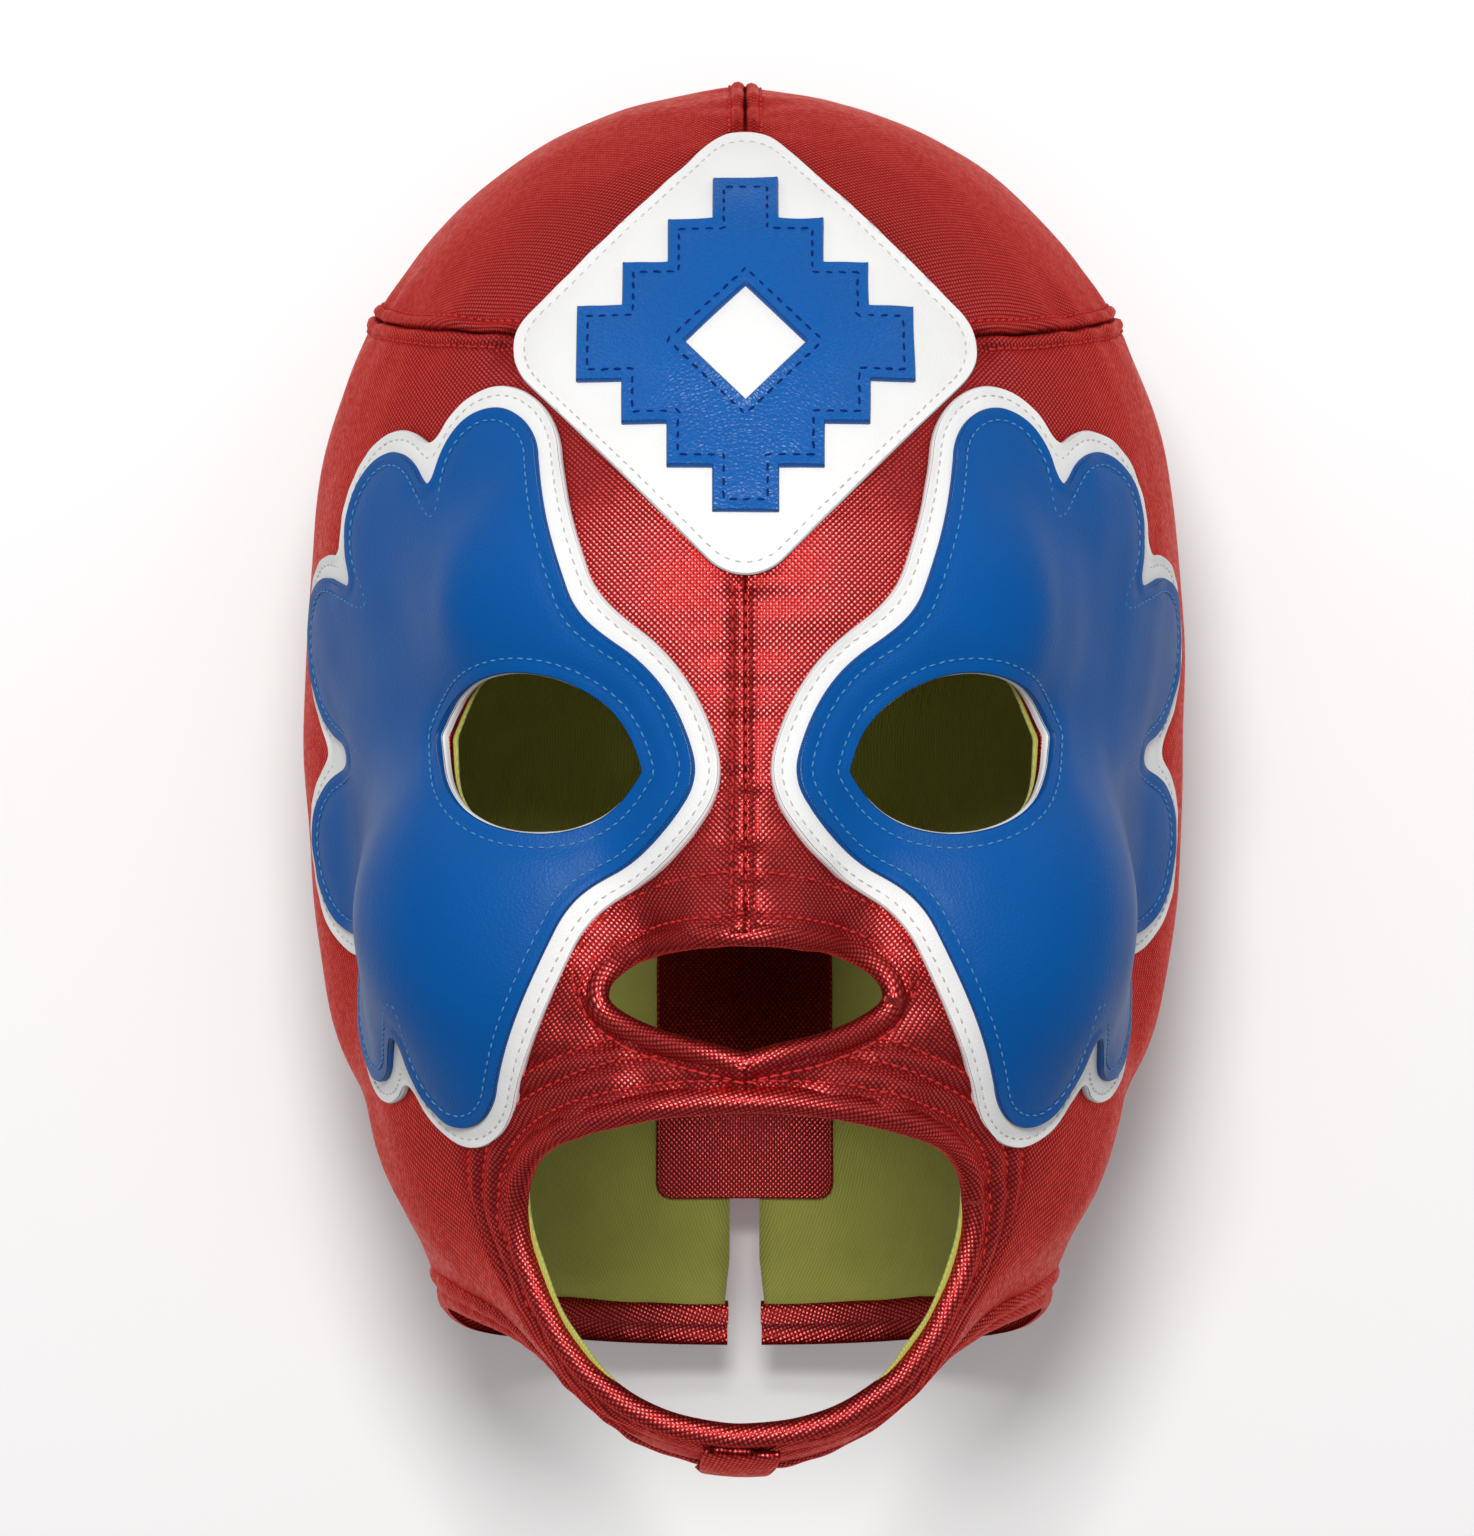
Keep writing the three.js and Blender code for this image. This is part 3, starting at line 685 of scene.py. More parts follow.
def fillFlat(loops, spacing, rows=(), rowGap=0.5, lines=()):  # points and triangles inside closed outlines
    low = np.min([loop.min(0) for loop in loops], axis=0)
    high = np.max([loop.max(0) for loop in loops], axis=0)
    xs = np.arange(low[0] + 0.37, high[0], spacing)
    ys = np.arange(low[1] + 0.31, high[1], spacing * 0.87)
    gx, gy = np.meshgrid(xs, ys)
    gx = gx + (np.arange(len(ys)) % 2)[:, None] * spacing / 2
    grid = columns(gx.ravel(), gy.ravel())
    grid = grid[insideLoops(grid, loops)]
    rowPoints = np.concatenate([np.zeros((0, 2)), *rows])
    rowPoints = rowPoints[insideLoops(rowPoints, loops)]
    fixed = np.concatenate([*loops, *lines])
    points = thinOut([(fixed, 0), (rowPoints, rowGap), (grid, spacing * 0.8)])
    edges, start = [], 0
    for line, closed in [(loop, True) for loop in loops] + [(line, False) for line in lines]:
        count = len(line)
        edges += [(start + i, start + (i + 1) % count) for i in range(count if closed else count - 1)]
        start += count
    made = delaunay_2d_cdt([Vector(p) for p in points], edges, [], 0, 1e-5)
    flat = np.array([tuple(v) for v in made[0]])
    faces = np.array([f for f in made[2] if len(f) == 3])
    return flat, faces[insideLoops(flat[faces].mean(1), loops)]


def bandFaces(rings, count, start=0, isRound=True, isLoop=False):  # from each ring of points to the next
    faces = []
    for i in range(rings if isLoop else rings - 1):
        here, there = start + i * count, start + (i + 1) % rings * count
        for k in range(count if isRound else count - 1):
            after = (k + 1) % count
            faces.append((here + k, here + after, there + after, there + k))
    return faces


def faceCross(points, faces):
    a, b, c = (points[faces[:, k]] for k in range(3))
    return np.cross(b - a, c - a)


def outwardFaces(points, faces, normals):
    wrong = (faceCross(points, faces) * normals[faces[:, 0]]).sum(1) < 0
    return np.where(wrong[:, None], faces[:, ::-1], faces)


def makeMesh(name, points, faces, weave=None, values=None):
    mesh = bpy.data.meshes.new(name)
    mesh.from_pydata(toFrame(points).tolist(), [], [list(map(int, f)) for f in faces])
    if weave is not None:
        corners = np.zeros(len(mesh.loops), int)
        mesh.loops.foreach_get("vertex_index", corners)
        weave = np.asarray(weave)[corners] / weaveUnit
        mesh.uv_layers.new(name="weave").data.foreach_set("uv", weave.ravel())
    for key, value in (values or {}).items():
        mesh.attributes.new(key, "FLOAT", "POINT").data.foreach_set("value", np.asarray(value, float))
    mesh.polygons.foreach_set("use_smooth", [True] * len(mesh.polygons))
    mesh.update()
    made = bpy.data.objects.new(name, mesh)
    bpy.context.scene.collection.objects.link(made)
    return made


def finishPiece(piece, finish, *cadNodes):
    material, slotName = finish
    piece.data.materials.append(material)
    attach(piece, "root")
    if cadNodes:
        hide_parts(*cadNodes)
    return piece


def addThickness(piece, thickness):
    solid = piece.modifiers.new("thickness", "SOLIDIFY")
    solid.thickness = thickness / 1000
    solid.offset = -1
    solid.use_quality_normals = True


# Materials
def newMaterial(name):
    material = bpy.data.materials.new(name)
    material.use_nodes = True
    return material, material.node_tree, material.node_tree.nodes["Principled BSDF"]


def setInputs(tree, made, inputs):  # sockets are linked, and numbers and colours are set
    for key, value in inputs.items():
        if isinstance(value, bpy.types.NodeSocket):
            tree.links.new(value, made.inputs[key])
        else:
            made.inputs[key].default_value = value


def node(tree, kind, inputs, output=0, **settings):
    made = tree.nodes.new("ShaderNode" + kind)
    for key, value in settings.items():
        setattr(made, key, value)
    setInputs(tree, made, inputs)
    return made.outputs[output]


def mathNode(tree, operation, *values, clamp=False):
    return node(tree, "Math", dict(enumerate(values)), operation=operation, use_clamp=clamp)


def mixColour(tree, share, *colours):
    low, high = ((*colour, 1) if isinstance(colour, tuple) else colour for colour in colours)
    return node(tree, "Mix", {"Factor": share, "A": low, "B": high}, "Result", data_type="RGBA")


def noise(tree, vector, scale, detail):
    return node(tree, "TexNoise", {"Vector": vector, "Scale": scale, "Detail": detail, "Roughness": 0.55})


def bumpNode(tree, height, strength, depth):
    return node(tree, "Bump", {"Height": height, "Strength": strength, "Distance": depth})


def weavePlace(tree):
    return node(tree, "UVMap", {}, uv_map="weave")


def attribute(tree, name):
    return node(tree, "Attribute", {}, "Fac", attribute_name=name)


fabricLook = {
    "pitch": 0.75,  # of the weave, millimetres
    "knotShape": 0.7,  # lower makes the threads fuller
    "thread": (0.72, 0.045, 0.04),
    "threadShare": 1.05,
    # colour between the threads, darker as painted shade in the weave's gaps
    "gap": (0.25, 0.01, 0.011),
    "worn": (0.5, 0.027, 0.026),
    "wear": (9.0, 4, 0.5, 0.1),  # scale and detail of its noise, contrast, what is worn all over
    "edge": (1.0, 0.42, 0.38, 1),  # tint of the glancing reflections
    "metallic": 0.88,
    "roughness": (0.22, 0.42),  # from thread to thread
    "unevenness": (60.0, 2, 0.12),  # of the roughness within a thread: scale, detail and amount
    "reflection": 0.5,
    # painted shade along seams and edges: how far it darkens the colour towards the gap colour, and how much
    # gloss it takes off
    "paintedShade": 0.75,
    "paintedShadeDullness": 0.7,
    "sheen": 0.03,
    "sheenTint": (1.0, 0.25, 0.2, 1),
    "sheenRoughness": 0.45,
    "coat": 1.0,  # where it is seen square on, fading to none where it is seen along the surface
    "coatFade": 1.5,
    "coatRoughness": 0.3,
    "coatIor": 1.8,
    "bump": 0.5,
    "bumpDepth": 0.00016,
    "threadTilt": 0.35,  # how unevenly the threads lie
}


def metallicWeave(name, turned=45):
    look = fabricLook
    material, tree, shader = newMaterial(name)
    uv = weavePlace(tree)
    scale = (weaveUnit / look["pitch"],) * 3
    threads = node(tree, "Mapping", {"Vector": uv, "Rotation": (0, 0, math.radians(turned)), "Scale": scale})
    split = node(tree, "SeparateXYZ", {"Vector": threads}).node
    crests = []
    for way in split.outputs[:2]:
        wave = mathNode(tree, "COSINE", mathNode(tree, "MULTIPLY", way, 2 * math.pi))
        crests.append(mathNode(tree, "MULTIPLY_ADD", wave, 0.5, 0.5))
    knot = mathNode(tree, "POWER", mathNode(tree, "MULTIPLY", *crests), look["knotShape"])
    shifted = node(tree, "VectorMath", {0: threads, 1: (0.5, 0.5, 0.5)}, operation="ADD")
    cell = node(tree, "VectorMath", {0: shifted}, operation="FLOOR")
    random = node(tree, "TexWhiteNoise", {"Vector": cell}, "Value")
    wearScale, wearDetail, *wearRange = look["wear"]
    wear = mathNode(tree, "MULTIPLY_ADD", noise(tree, uv, wearScale, wearDetail), *wearRange)
    threadColour = mixColour(tree, wear, look["thread"], look["worn"])
    # the weave's pattern: threads in their colour, the gaps between them darker as painted shade
    onThread = mathNode(tree, "MULTIPLY", knot, look["threadShare"], clamp=True)
    colour = mixColour(tree, onThread, look["gap"], threadColour)
    # painted shade along seams, stitch rows and edges: darker colour and less gloss there
    paintedShadeAmount = attribute(tree, "paintedShadeAmount")
    colour = mixColour(tree, mathNode(tree, "MULTIPLY", paintedShadeAmount, look["paintedShade"]), colour, look["gap"])
    outsidePaintedShade = mathNode(tree, "MULTIPLY_ADD", paintedShadeAmount, -look["paintedShadeDullness"], 1.0)
    gloss = mathNode(tree, "MULTIPLY", knot, outsidePaintedShade)
    facingAway = node(tree, "LayerWeight", {"Blend": 0.5}, "Facing")
    towardsEye = mathNode(tree, "SUBTRACT", 1.0, facingAway, clamp=True)
    squareOn = mathNode(tree, "POWER", towardsEye, look["coatFade"])
    low, high = look["roughness"]
    roughness = mathNode(tree, "MULTIPLY_ADD", random, high - low, low)
    unevenScale, unevenDetail, unevenness = look["unevenness"]
    uneven = noise(tree, uv, unevenScale, unevenDetail)
    tilt = mathNode(tree, "MULTIPLY", mathNode(tree, "MULTIPLY", random, look["threadTilt"]), knot)
    bump = bumpNode(tree, mathNode(tree, "ADD", knot, tilt), look["bump"], look["bumpDepth"])
    setInputs(tree, shader, {
        "Base Color": colour,
        "Metallic": look["metallic"],
        "Roughness": mathNode(tree, "MULTIPLY_ADD", uneven, unevenness, roughness),
        "Normal": bump,
        "Specular IOR Level": mathNode(tree, "MULTIPLY", gloss, look["reflection"]),
        "Specular Tint": look["edge"],
        "Coat Weight": mathNode(tree, "MULTIPLY", mathNode(tree, "MULTIPLY", gloss, look["coat"]), squareOn),
        "Coat Roughness": look["coatRoughness"],
        "Coat IOR": look["coatIor"],
        "Coat Normal": bump,
        "Sheen Weight": look["sheen"],
        "Sheen Roughness": look["sheenRoughness"],
        "Sheen Tint": look["sheenTint"],
    })
    return material


vinylLook = {  # colour, darker colour painted as shade along the cut edge, roughness, strength of the grain, gloss
    "blue": ((0.0002, 0.074, 0.29), (0.0002, 0.045, 0.2), 0.44, 0.16, 0.12),
    "grainedBlue": ((0.001, 0.085, 0.33), (0.0005, 0.045, 0.2), 0.36, 0.38, 0.3),
    "white": ((0.72, 0.72, 0.715), (0.58, 0.58, 0.6), 0.42, 0.12, 0.25),
    "grainSize": 0.75,  # millimetres
    "crease": 3.0,
    "fineGrain": (420.0, 3, 0.35),  # scale, detail and share of the height
    "mottle": (7.0, 3, 0.35, 0.14),  # scale, detail, share of the tone and of the roughness
    "paintedEdgeShade": (2.2, 0.55),  # how soon the painted shade along the cut edge ends, and its share
    "paleness": 0.1,
    "grainDepth": 0.0002,
}


def vinyl(name, face, edgeShadeColour, rough, grainStrength, gloss):
    look = vinylLook
    material, tree, shader = newMaterial(name)
    uv = weavePlace(tree)
    places = {"Vector": uv, "Scale": weaveUnit / look["grainSize"]}
    cells = node(tree, "TexVoronoi", places, "Distance", feature="DISTANCE_TO_EDGE")
    crease = mathNode(tree, "MULTIPLY", cells, look["crease"], clamp=True)
    fineScale, fineDetail, fineShare = look["fineGrain"]
    grain = mathNode(tree, "MULTIPLY_ADD", noise(tree, uv, fineScale, fineDetail), fineShare, crease)
    broadScale, broadDetail, broadTone, broadRough = look["mottle"]
    broad = noise(tree, uv, broadScale, broadDetail)
    # painted shade: darker towards the cut edge and on the edge itself
    edgeFade, edgeShare = look["paintedEdgeShade"]
    fromEdge = mathNode(tree, "MULTIPLY", attribute(tree, "edgeGap"), edgeFade, clamp=True)
    edgeShade = mathNode(tree, "MULTIPLY", mathNode(tree, "SUBTRACT", 1.0, fromEdge), edgeShare)
    tone = mathNode(tree, "MULTIPLY_ADD", broad, broadTone, edgeShade)
    tone = mathNode(tree, "SUBTRACT", tone, look["paleness"], clamp=True)
    setInputs(tree, shader, {
        "Base Color": mixColour(tree, tone, face, edgeShadeColour),
        "Roughness": mathNode(tree, "MULTIPLY_ADD", broad, broadRough, rough - broadRough / 2),
        "Normal": bumpNode(tree, grain, grainStrength, look["grainDepth"]),
        "Specular IOR Level": gloss,
    })
    return material


threadLook = {  # colour and gloss
    "red": ((0.62, 0.03, 0.028), 0.15),
    "light blue": ((0.07, 0.27, 0.56), 0.3),
    "dark blue": ((0.001, 0.02, 0.16), 0.1),
    "white": ((0.6, 0.6, 0.57), 0.3),
    "twist": (2600.0, 2),  # scale and detail
    "contrast": (1.2, -0.2),
    "darkShare": 0.55,  # of the colour, painted as shade in the twist's hollows
    "roughness": 0.6,
    "bump": (0.4, 0.0001),
}


def thread(kind):
    look = threadLook
    colour, gloss = look[kind]
    material, tree, shader = newMaterial(kind + " thread")
    twist = noise(tree, node(tree, "TexCoord", {}, "Object"), *look["twist"])
    # the twist's hollows darker as painted shade
    tone = mathNode(tree, "MULTIPLY_ADD", twist, *look["contrast"], clamp=True)
    dark = tuple(value * look["darkShare"] for value in colour)
    setInputs(tree, shader, {
        "Base Color": mixColour(tree, tone, dark, colour),
        "Roughness": look["roughness"],
        "Normal": bumpNode(tree, twist, *look["bump"]),
        "Specular IOR Level": gloss,
    })
    return material


liningLook = {
    "colour": (0.5, 0.5, 0.1),
    # colour painted as shade between the ribs, also shown in the mottle's darker spots
    "dark": (0.28, 0.29, 0.045),
    "pitch": 0.7,
    "ribsPerUnit": 3.1,  # about what the wave texture has at scale 1
    "distortion": 1.5,
    "ribShare": 0.5,  # of the tone, the rest being mottled
    "mottle": (12.0, 3),
    "roughness": 0.85,
    "bump": (0.4, 0.0002),
    "sheen": 0.2,
}


def yellowKnit():
    look = liningLook
    material, tree, shader = newMaterial("yellow lining")
    uv = weavePlace(tree)
    scale = weaveUnit / look["pitch"] / look["ribsPerUnit"]
    ribs = {"Vector": uv, "Scale": scale, "Distortion": look["distortion"], "Detail": 1.0}
    # ribs: darker in their valleys as painted shade; the rest of the tone is a random mottle
    wave = node(tree, "TexWave", ribs, "Fac", wave_type="BANDS", bands_direction="X")
    broad = mathNode(tree, "MULTIPLY", noise(tree, uv, *look["mottle"]), 1 - look["ribShare"])
    share = mathNode(tree, "MULTIPLY_ADD", wave, look["ribShare"], broad)
    setInputs(tree, shader, {
        "Base Color": mixColour(tree, share, look["dark"], look["colour"]),
        "Roughness": look["roughness"],
        "Normal": bumpNode(tree, wave, *look["bump"]),
        "Sheen Weight": look["sheen"],
    })
    return material


nickelLook = {
    "dull": (0.5, 0.5, 0.52),
    "bright": (0.78, 0.79, 0.8),
    "wear": (900.0, 3),  # scale and detail
    "roughness": (0.25, 0.15),  # its change with the wear, and its least
}


def nickel():
    look = nickelLook
    material, tree, shader = newMaterial("nickel")
    wear = noise(tree, node(tree, "TexCoord", {}, "Object"), *look["wear"])
    setInputs(tree, shader, {
        "Base Color": mixColour(tree, wear, look["dull"], look["bright"]),
        "Roughness": mathNode(tree, "MULTIPLY_ADD", wear, *look["roughness"]),
        "Metallic": 1.0,
    })
    return material


# Each finish is a material and the record's slot for it
redCloth = (metallicWeave("red metallic weave"), "red_metallic_fabric")
redBias = (metallicWeave("red metallic weave on the bias", turned=20), "red_metallic_fabric")
blueVinyl = (vinyl("blue vinyl", *vinylLook["blue"]), "blue_vinyl")
grainedBlue = (vinyl("grained blue vinyl", *vinylLook["grainedBlue"]), "blue_vinyl")
whiteVinyl = (vinyl("white vinyl", *vinylLook["white"]), "white_vinyl")
yellowLining = (yellowKnit(), "yellow_lining")
nickelPlate = (nickel(), "eyelet_metal")
redThread = (thread("red"), "red_metallic_fabric")
lightBlueThread = (thread("light blue"), "blue_vinyl")
darkBlueThread = (thread("dark blue"), "blue_vinyl")
whiteThread = (thread("white"), "white_vinyl")
print("materials ready")


# Fabric panels
panelLook = {
    "spacing": 1.7,  # of the mesh
    "rowStep": 1.3,
    "rowGap": 0.34,  # least distance between rows of points
    "seamRows": (0.2, 0.45, 0.8, 1.15, 1.5, 2.0, 2.4, 2.75, 3.1, 3.6, 4.4),
    "noseRows": (3, 4, 4.6, 5.2, 6, 8),
    "mouthRows": (3, 4.2, 5, 5.6, 6.2, 7.2, 8.4, 9.5, 10.2, 10.9, 12.2, 13.5, 14.2, 14.9),
    "underBinding": 1.2,  # from an opening's edge to the panel's
    "thickness": 0.9,
    "hemInset": 2.5,
    "hemTurn": 177,  # degrees round at which the hem reaches the slit
    "slitFrom": -112,  # below the hem
    "slitShort": 2.4,  # degrees by which the slit's edges stop before the hem
    "slitGap": 1.2,  # degrees from the slit's top to the join above it
    "strapFall": 152,
}


def panelLine(points):
    return resample(points, panelLook["rowStep"], closed=False)


def seamRows(line):  # rows of points on both sides of a seam
    frames = edgeFrames(line, closed=False)
    return [offsetLine(frames, side * width) for width in panelLook["seamRows"] for side in (1, -1)]


def cleanLoop(loop, least=0.25):
    kept = [loop[0]]
    for point in loop[1:]:
        if np.hypot(*(point - kept[-1])) > least:
            kept.append(point)
    return np.array(kept)


def slitEdge(side):  # one side of the slit, from the hem up
    height = np.linspace(panelLook["slitFrom"], slitTop, 170)
    edge = fromBackChart(columns(side * slitHalf, height))
    return panelLine(edge[turnAndFall(edge)[1] < neckFall(180) - panelLook["slitShort"]])


def sideOutline():  # the two side panels in one: cross seam, back, slit, hem and back up
    hem = offsetLine(neckEdge, -panelLook["hemInset"])
    hem = hem[np.abs(turnAndFall(hem)[0]) < panelLook["hemTurn"]]
    left, right = slitEdge(-1), slitEdge(1)
    backFrom = turnAndFall(right[-1:])[1][0] - panelLook["slitGap"]
    back = toSideChart(surfaceAt(rays(180.0, np.linspace(backFrom, backFall, 30))))
    back[:, 0] = 180 * sideScale[0]
    parts = [seamSide, back[::-1][1:], *(toSideChart(part) for part in (right[::-1], hem, left))]
    return np.concatenate([*parts, back[:-1] * [-1, 1]])


def centreLines():  # over the bridge, between nose and mouth, and down the strap
    falls = np.linspace(frontFall, panelLook["strapFall"], 200)
    line = panelLine(surfaceAt(rays(0, falls)))
    height, gap = line[:, 1], panelLook["underBinding"]
    noseHeights, mouthHeights = noseEdge[0][:, 1], mouthEdge[0][:, 1]
    bridge = line[height > noseHeights.max() + gap]
    lip = line[(height < noseHeights.min() - gap) & (height > mouthHeights.max() + gap)]
    strap = line[turnAndFall(line)[1] > mouth["fall"] + mouth["halfFall"] + 1.0]
    return bridge, lip, strap[:-2]


def sewPanels(kind, flat, faces, fromChart, weaveOf):  # left and right of the centre seam
    points = fromChart(flat)
    normals = normalsAt(points)
    faces = outwardFaces(points, faces, normals)
    # painted shade for the seams and edges, kept on the mesh for the material
    paintedShadeAmount, weave = paintedShade(points, normals), weaveOf(points)
    raised = points + normals * fabricRelief(points, normals)[:, None]
    across = points[faces].mean(1)[:, 0]
    for side, isIn in (("left", across < 0), ("right", across >= 0)):
        chosen = faces[isIn]
        used = np.unique(chosen)
        index = np.full(len(points), -1)
        index[used] = np.arange(len(used))
        values = {"paintedShadeAmount": paintedShadeAmount[used]}
        piece = makeMesh(f"{side}_{kind}_panel", raised[used], index[chosen], weave[used], values)
        addThickness(piece, panelLook["thickness"])
        finishPiece(piece, redCloth, f"{kind}_panel_{side}")
    print(kind, "panels", len(faces), "faces")


eyeHole = traceField(eyeField, -0.3, 0.9)
eyeHoles = [toSideChart(fromWrapChart(eyeHole * [side, 1])) for side in (-1, 1)]
seamSide = toSideChart(panelLine(seamLine))
centres = centreLines()


def makeSidePanels():
    edges = [offsetLine(edge, panelLook["underBinding"]) for edge in (noseEdge, mouthEdge)]
    loops = [cleanLoop(sideOutline()), *eyeHoles, *(toSideChart(edge) for edge in edges)]
    rows = [row for line in centres[:2] for row in seamRows(line)]
    rows += [row[np.abs(turnAndFall(row)[0]) < 179.9] for row in seamRows(seamLine[5:-5])]
    rows += [offsetLine(noseEdge, width) for width in panelLook["noseRows"]]
    rows += [offsetLine(mouthEdge, width) for width in panelLook["mouthRows"]]
    rows, lines = ([toSideChart(line) for line in group] for group in (rows, centres))
    flat, faces = fillFlat(loops, panelLook["spacing"], rows, panelLook["rowGap"], lines)
    sewPanels("side", flat, faces, fromSideChart, sideWeave)


crownLoop = toCrownChart(resample(seamLine[:-1], panelLook["rowStep"]))
crownMiddle = panelLine(surfaceAt(np.concatenate([  # from the back to the front
    rays(180.0, np.linspace(backFall - 0.6, 0.4, 120)),
    rays(0.0, np.linspace(0, frontFall - 0.6, 120)),
])))


def makeCrownPanels():
    rows = [toCrownChart(row) for row in seamRows(crownMiddle) + seamRows(seamLine)]
    lines = [toCrownChart(crownMiddle)]
    flat, faces = fillFlat([crownLoop], panelLook["spacing"], rows, panelLook["rowGap"], lines)
    sewPanels("crown", flat, faces, fromCrownChart, crownWeave)


makeSidePanels()
makeCrownPanels()

liningCut = {
    "spacing": 3.2,
    "thickness": 0.5,
    "nose": 1.0,
    "mouth": 0.9,
    "shown": 2.3,  # what shows past the binding, between these heights and with these fades
    "shownTop": (-72, 14),
    "shownLow": (-108, 6),
    "ripple": 0.25,
    "rippleWaves": (16, 4, 11),
}


def liningMouthEdge():  # shows past the binding at the lower sides of the opening
    points = mouthEdge[0]
    (top, topFade), (bottom, bottomFade) = liningCut["shownTop"], liningCut["shownLow"]
    low = ramp((top - points[:, 1]) / topFade) * ramp((points[:, 1] - bottom) / bottomFade)
    shown = liningCut["shown"] - liningCut["ripple"] * waves(points, *liningCut["rippleWaves"])
    return offsetLine(mouthEdge, liningCut["mouth"] - shown * low)


def makeLining():
    edges = [offsetLine(noseEdge, liningCut["nose"]), liningMouthEdge()]
    loops = [cleanLoop(sideOutline(), 0.8), *eyeHoles, *(toSideChart(edge) for edge in edges)]
    sideFlat, sideFaces = fillFlat(loops, liningCut["spacing"])
    crownFlat, crownFaces = fillFlat([crownLoop], liningCut["spacing"])
    sidePoints, crownPoints = fromSideChart(sideFlat), fromCrownChart(crownFlat)
    points = np.concatenate([sidePoints, crownPoints])
    weave = np.concatenate([sideWeave(sidePoints), crownWeave(crownPoints)])
    normals = normalsAt(points)
    faces = outwardFaces(points, np.concatenate([sideFaces, crownFaces + len(sidePoints)]), normals)
    raised = points + normals * (layer["lining"] + slack(points))[:, None]
    piece = makeMesh("inner_lining", raised, faces, weave)
    addThickness(piece, liningCut["thickness"])
    finishPiece(piece, yellowLining, "lining")


makeLining()
print("lining ready")


# Rolled bindings
def sweep(name, cadNode, frames, section, seed, ripple=0.1, closed=True):
    points, normals, outward = frames
    section = np.array(section, float)
    rings, sides = len(points), len(section)
    swell = ripple * waves(points, 7, 5, seed)[:, None] * np.sin(np.linspace(0, math.pi, sides))
    out, up = section[:, 0] + 0.4 * swell, section[:, 1] + swell
    placed = points[:, None] + outward[:, None] * out[..., None] + normals[:, None] * up[..., None]
    weave = columns(lengthsAlong(points)[:, None], lengthsAlong(section))
    faces = bandFaces(rings, sides, isRound=False, isLoop=closed)
    piece = makeMesh(name, placed.reshape(-1, 3), faces, weave.reshape(-1, 2))
    finishPiece(piece, redBias, cadNode)


def edgeSection(width, top):  # rolled over the opening's edge, which is at 0 across
    return [
        (2.6, -2.5), (1.5, -2.6), (0.6, -2.3), (0.0, -1.6), (-0.25, -0.8), (-0.2, 0.0), (0.15, 0.7),
        (0.8, top * 0.88), (1.6, top), (2.5, top * 0.93), (3.2, top * 0.62), (width, 0.2),
        (width + 0.15, -0.6),
    ]


def hemSection(width, top):  # two soft rolls with the stitch row between them
    return [
        (-4.0, -2.4), (-1.5, -2.6), (-0.3, -2.3), (0.3, -1.5), (0.4, -0.6), (0.1, 0.3), (-0.6, top * 0.8),
        (-1.6, top), (-2.8, top * 0.9), (-3.7, top * 0.45), (-4.1, top * 0.4), (-4.6, top * 0.7),
        (-5.6, top * 0.85), (-6.6, top * 0.75), (-7.4, top * 0.5), (-width, 0.1), (-width - 0.1, -0.7),
    ]


bindingLook = {"nose": (3.9, 1.35), "mouth": (4.4, 1.6), "hem": (8.0, 0.95)}  # width and height
pastSlit = (np.abs(neckEdge[0][:, 0]) > slitHalf) | (neckEdge[0][:, 2] > 0)
hemFrames = [part[pastSlit] for part in neckEdge]
sweep("nose_edge", "nose_binding", noseEdge, edgeSection(*bindingLook["nose"]), 21)
sweep("mouth_edge", "mouth_binding", mouthEdge, edgeSection(*bindingLook["mouth"]), 22)
sweep("neck_edge", "neck_binding", hemFrames, hemSection(*bindingLook["hem"]), 23, 0.12, closed=False)
print("bindings ready")


# Vinyl shapes
def gapToLoops(flat, loops):
    line = np.concatenate([resample(loop, 0.25) for loop in loops])
    return nearest(np.pad(flat, ((0, 0), (0, 1))), np.pad(line, ((0, 0), (0, 1))))


vinylCut = {  # heights, spacing of the mesh, stitches' distance from the edge, seed of the puff
    "eye_backing": (layer["white"], 2.2, 1.7, 31),
    "eye_surround": (layer["blue"], 1.9, 2.3, 33),
    "forehead_backing": (layer["white"], 2.0, 1.8, 35),
    "forehead_motif": (layer["blue"], 1.4, 1.9, 37),
    "edgeRound": 0.28,
    "stitchDent": (0.26, 0.5),  # depth and width
    "edgeRise": (0.08, 1.6),
    "cutDrop": 0.08,  # of the cut edge under the face
    "puff": 0.06,
    "puffReach": 3,
    "puffWaves": (6, 5),  # size and number
    "edgeRows": (0.9, 1.5),
    "besideStitches": 0.4,
    "innerRow": 3.4,
    "rowGap": 0.42,
    "rimGap": 0.12,  # the rim counts as this far from the edge, for the painted edge shade
}


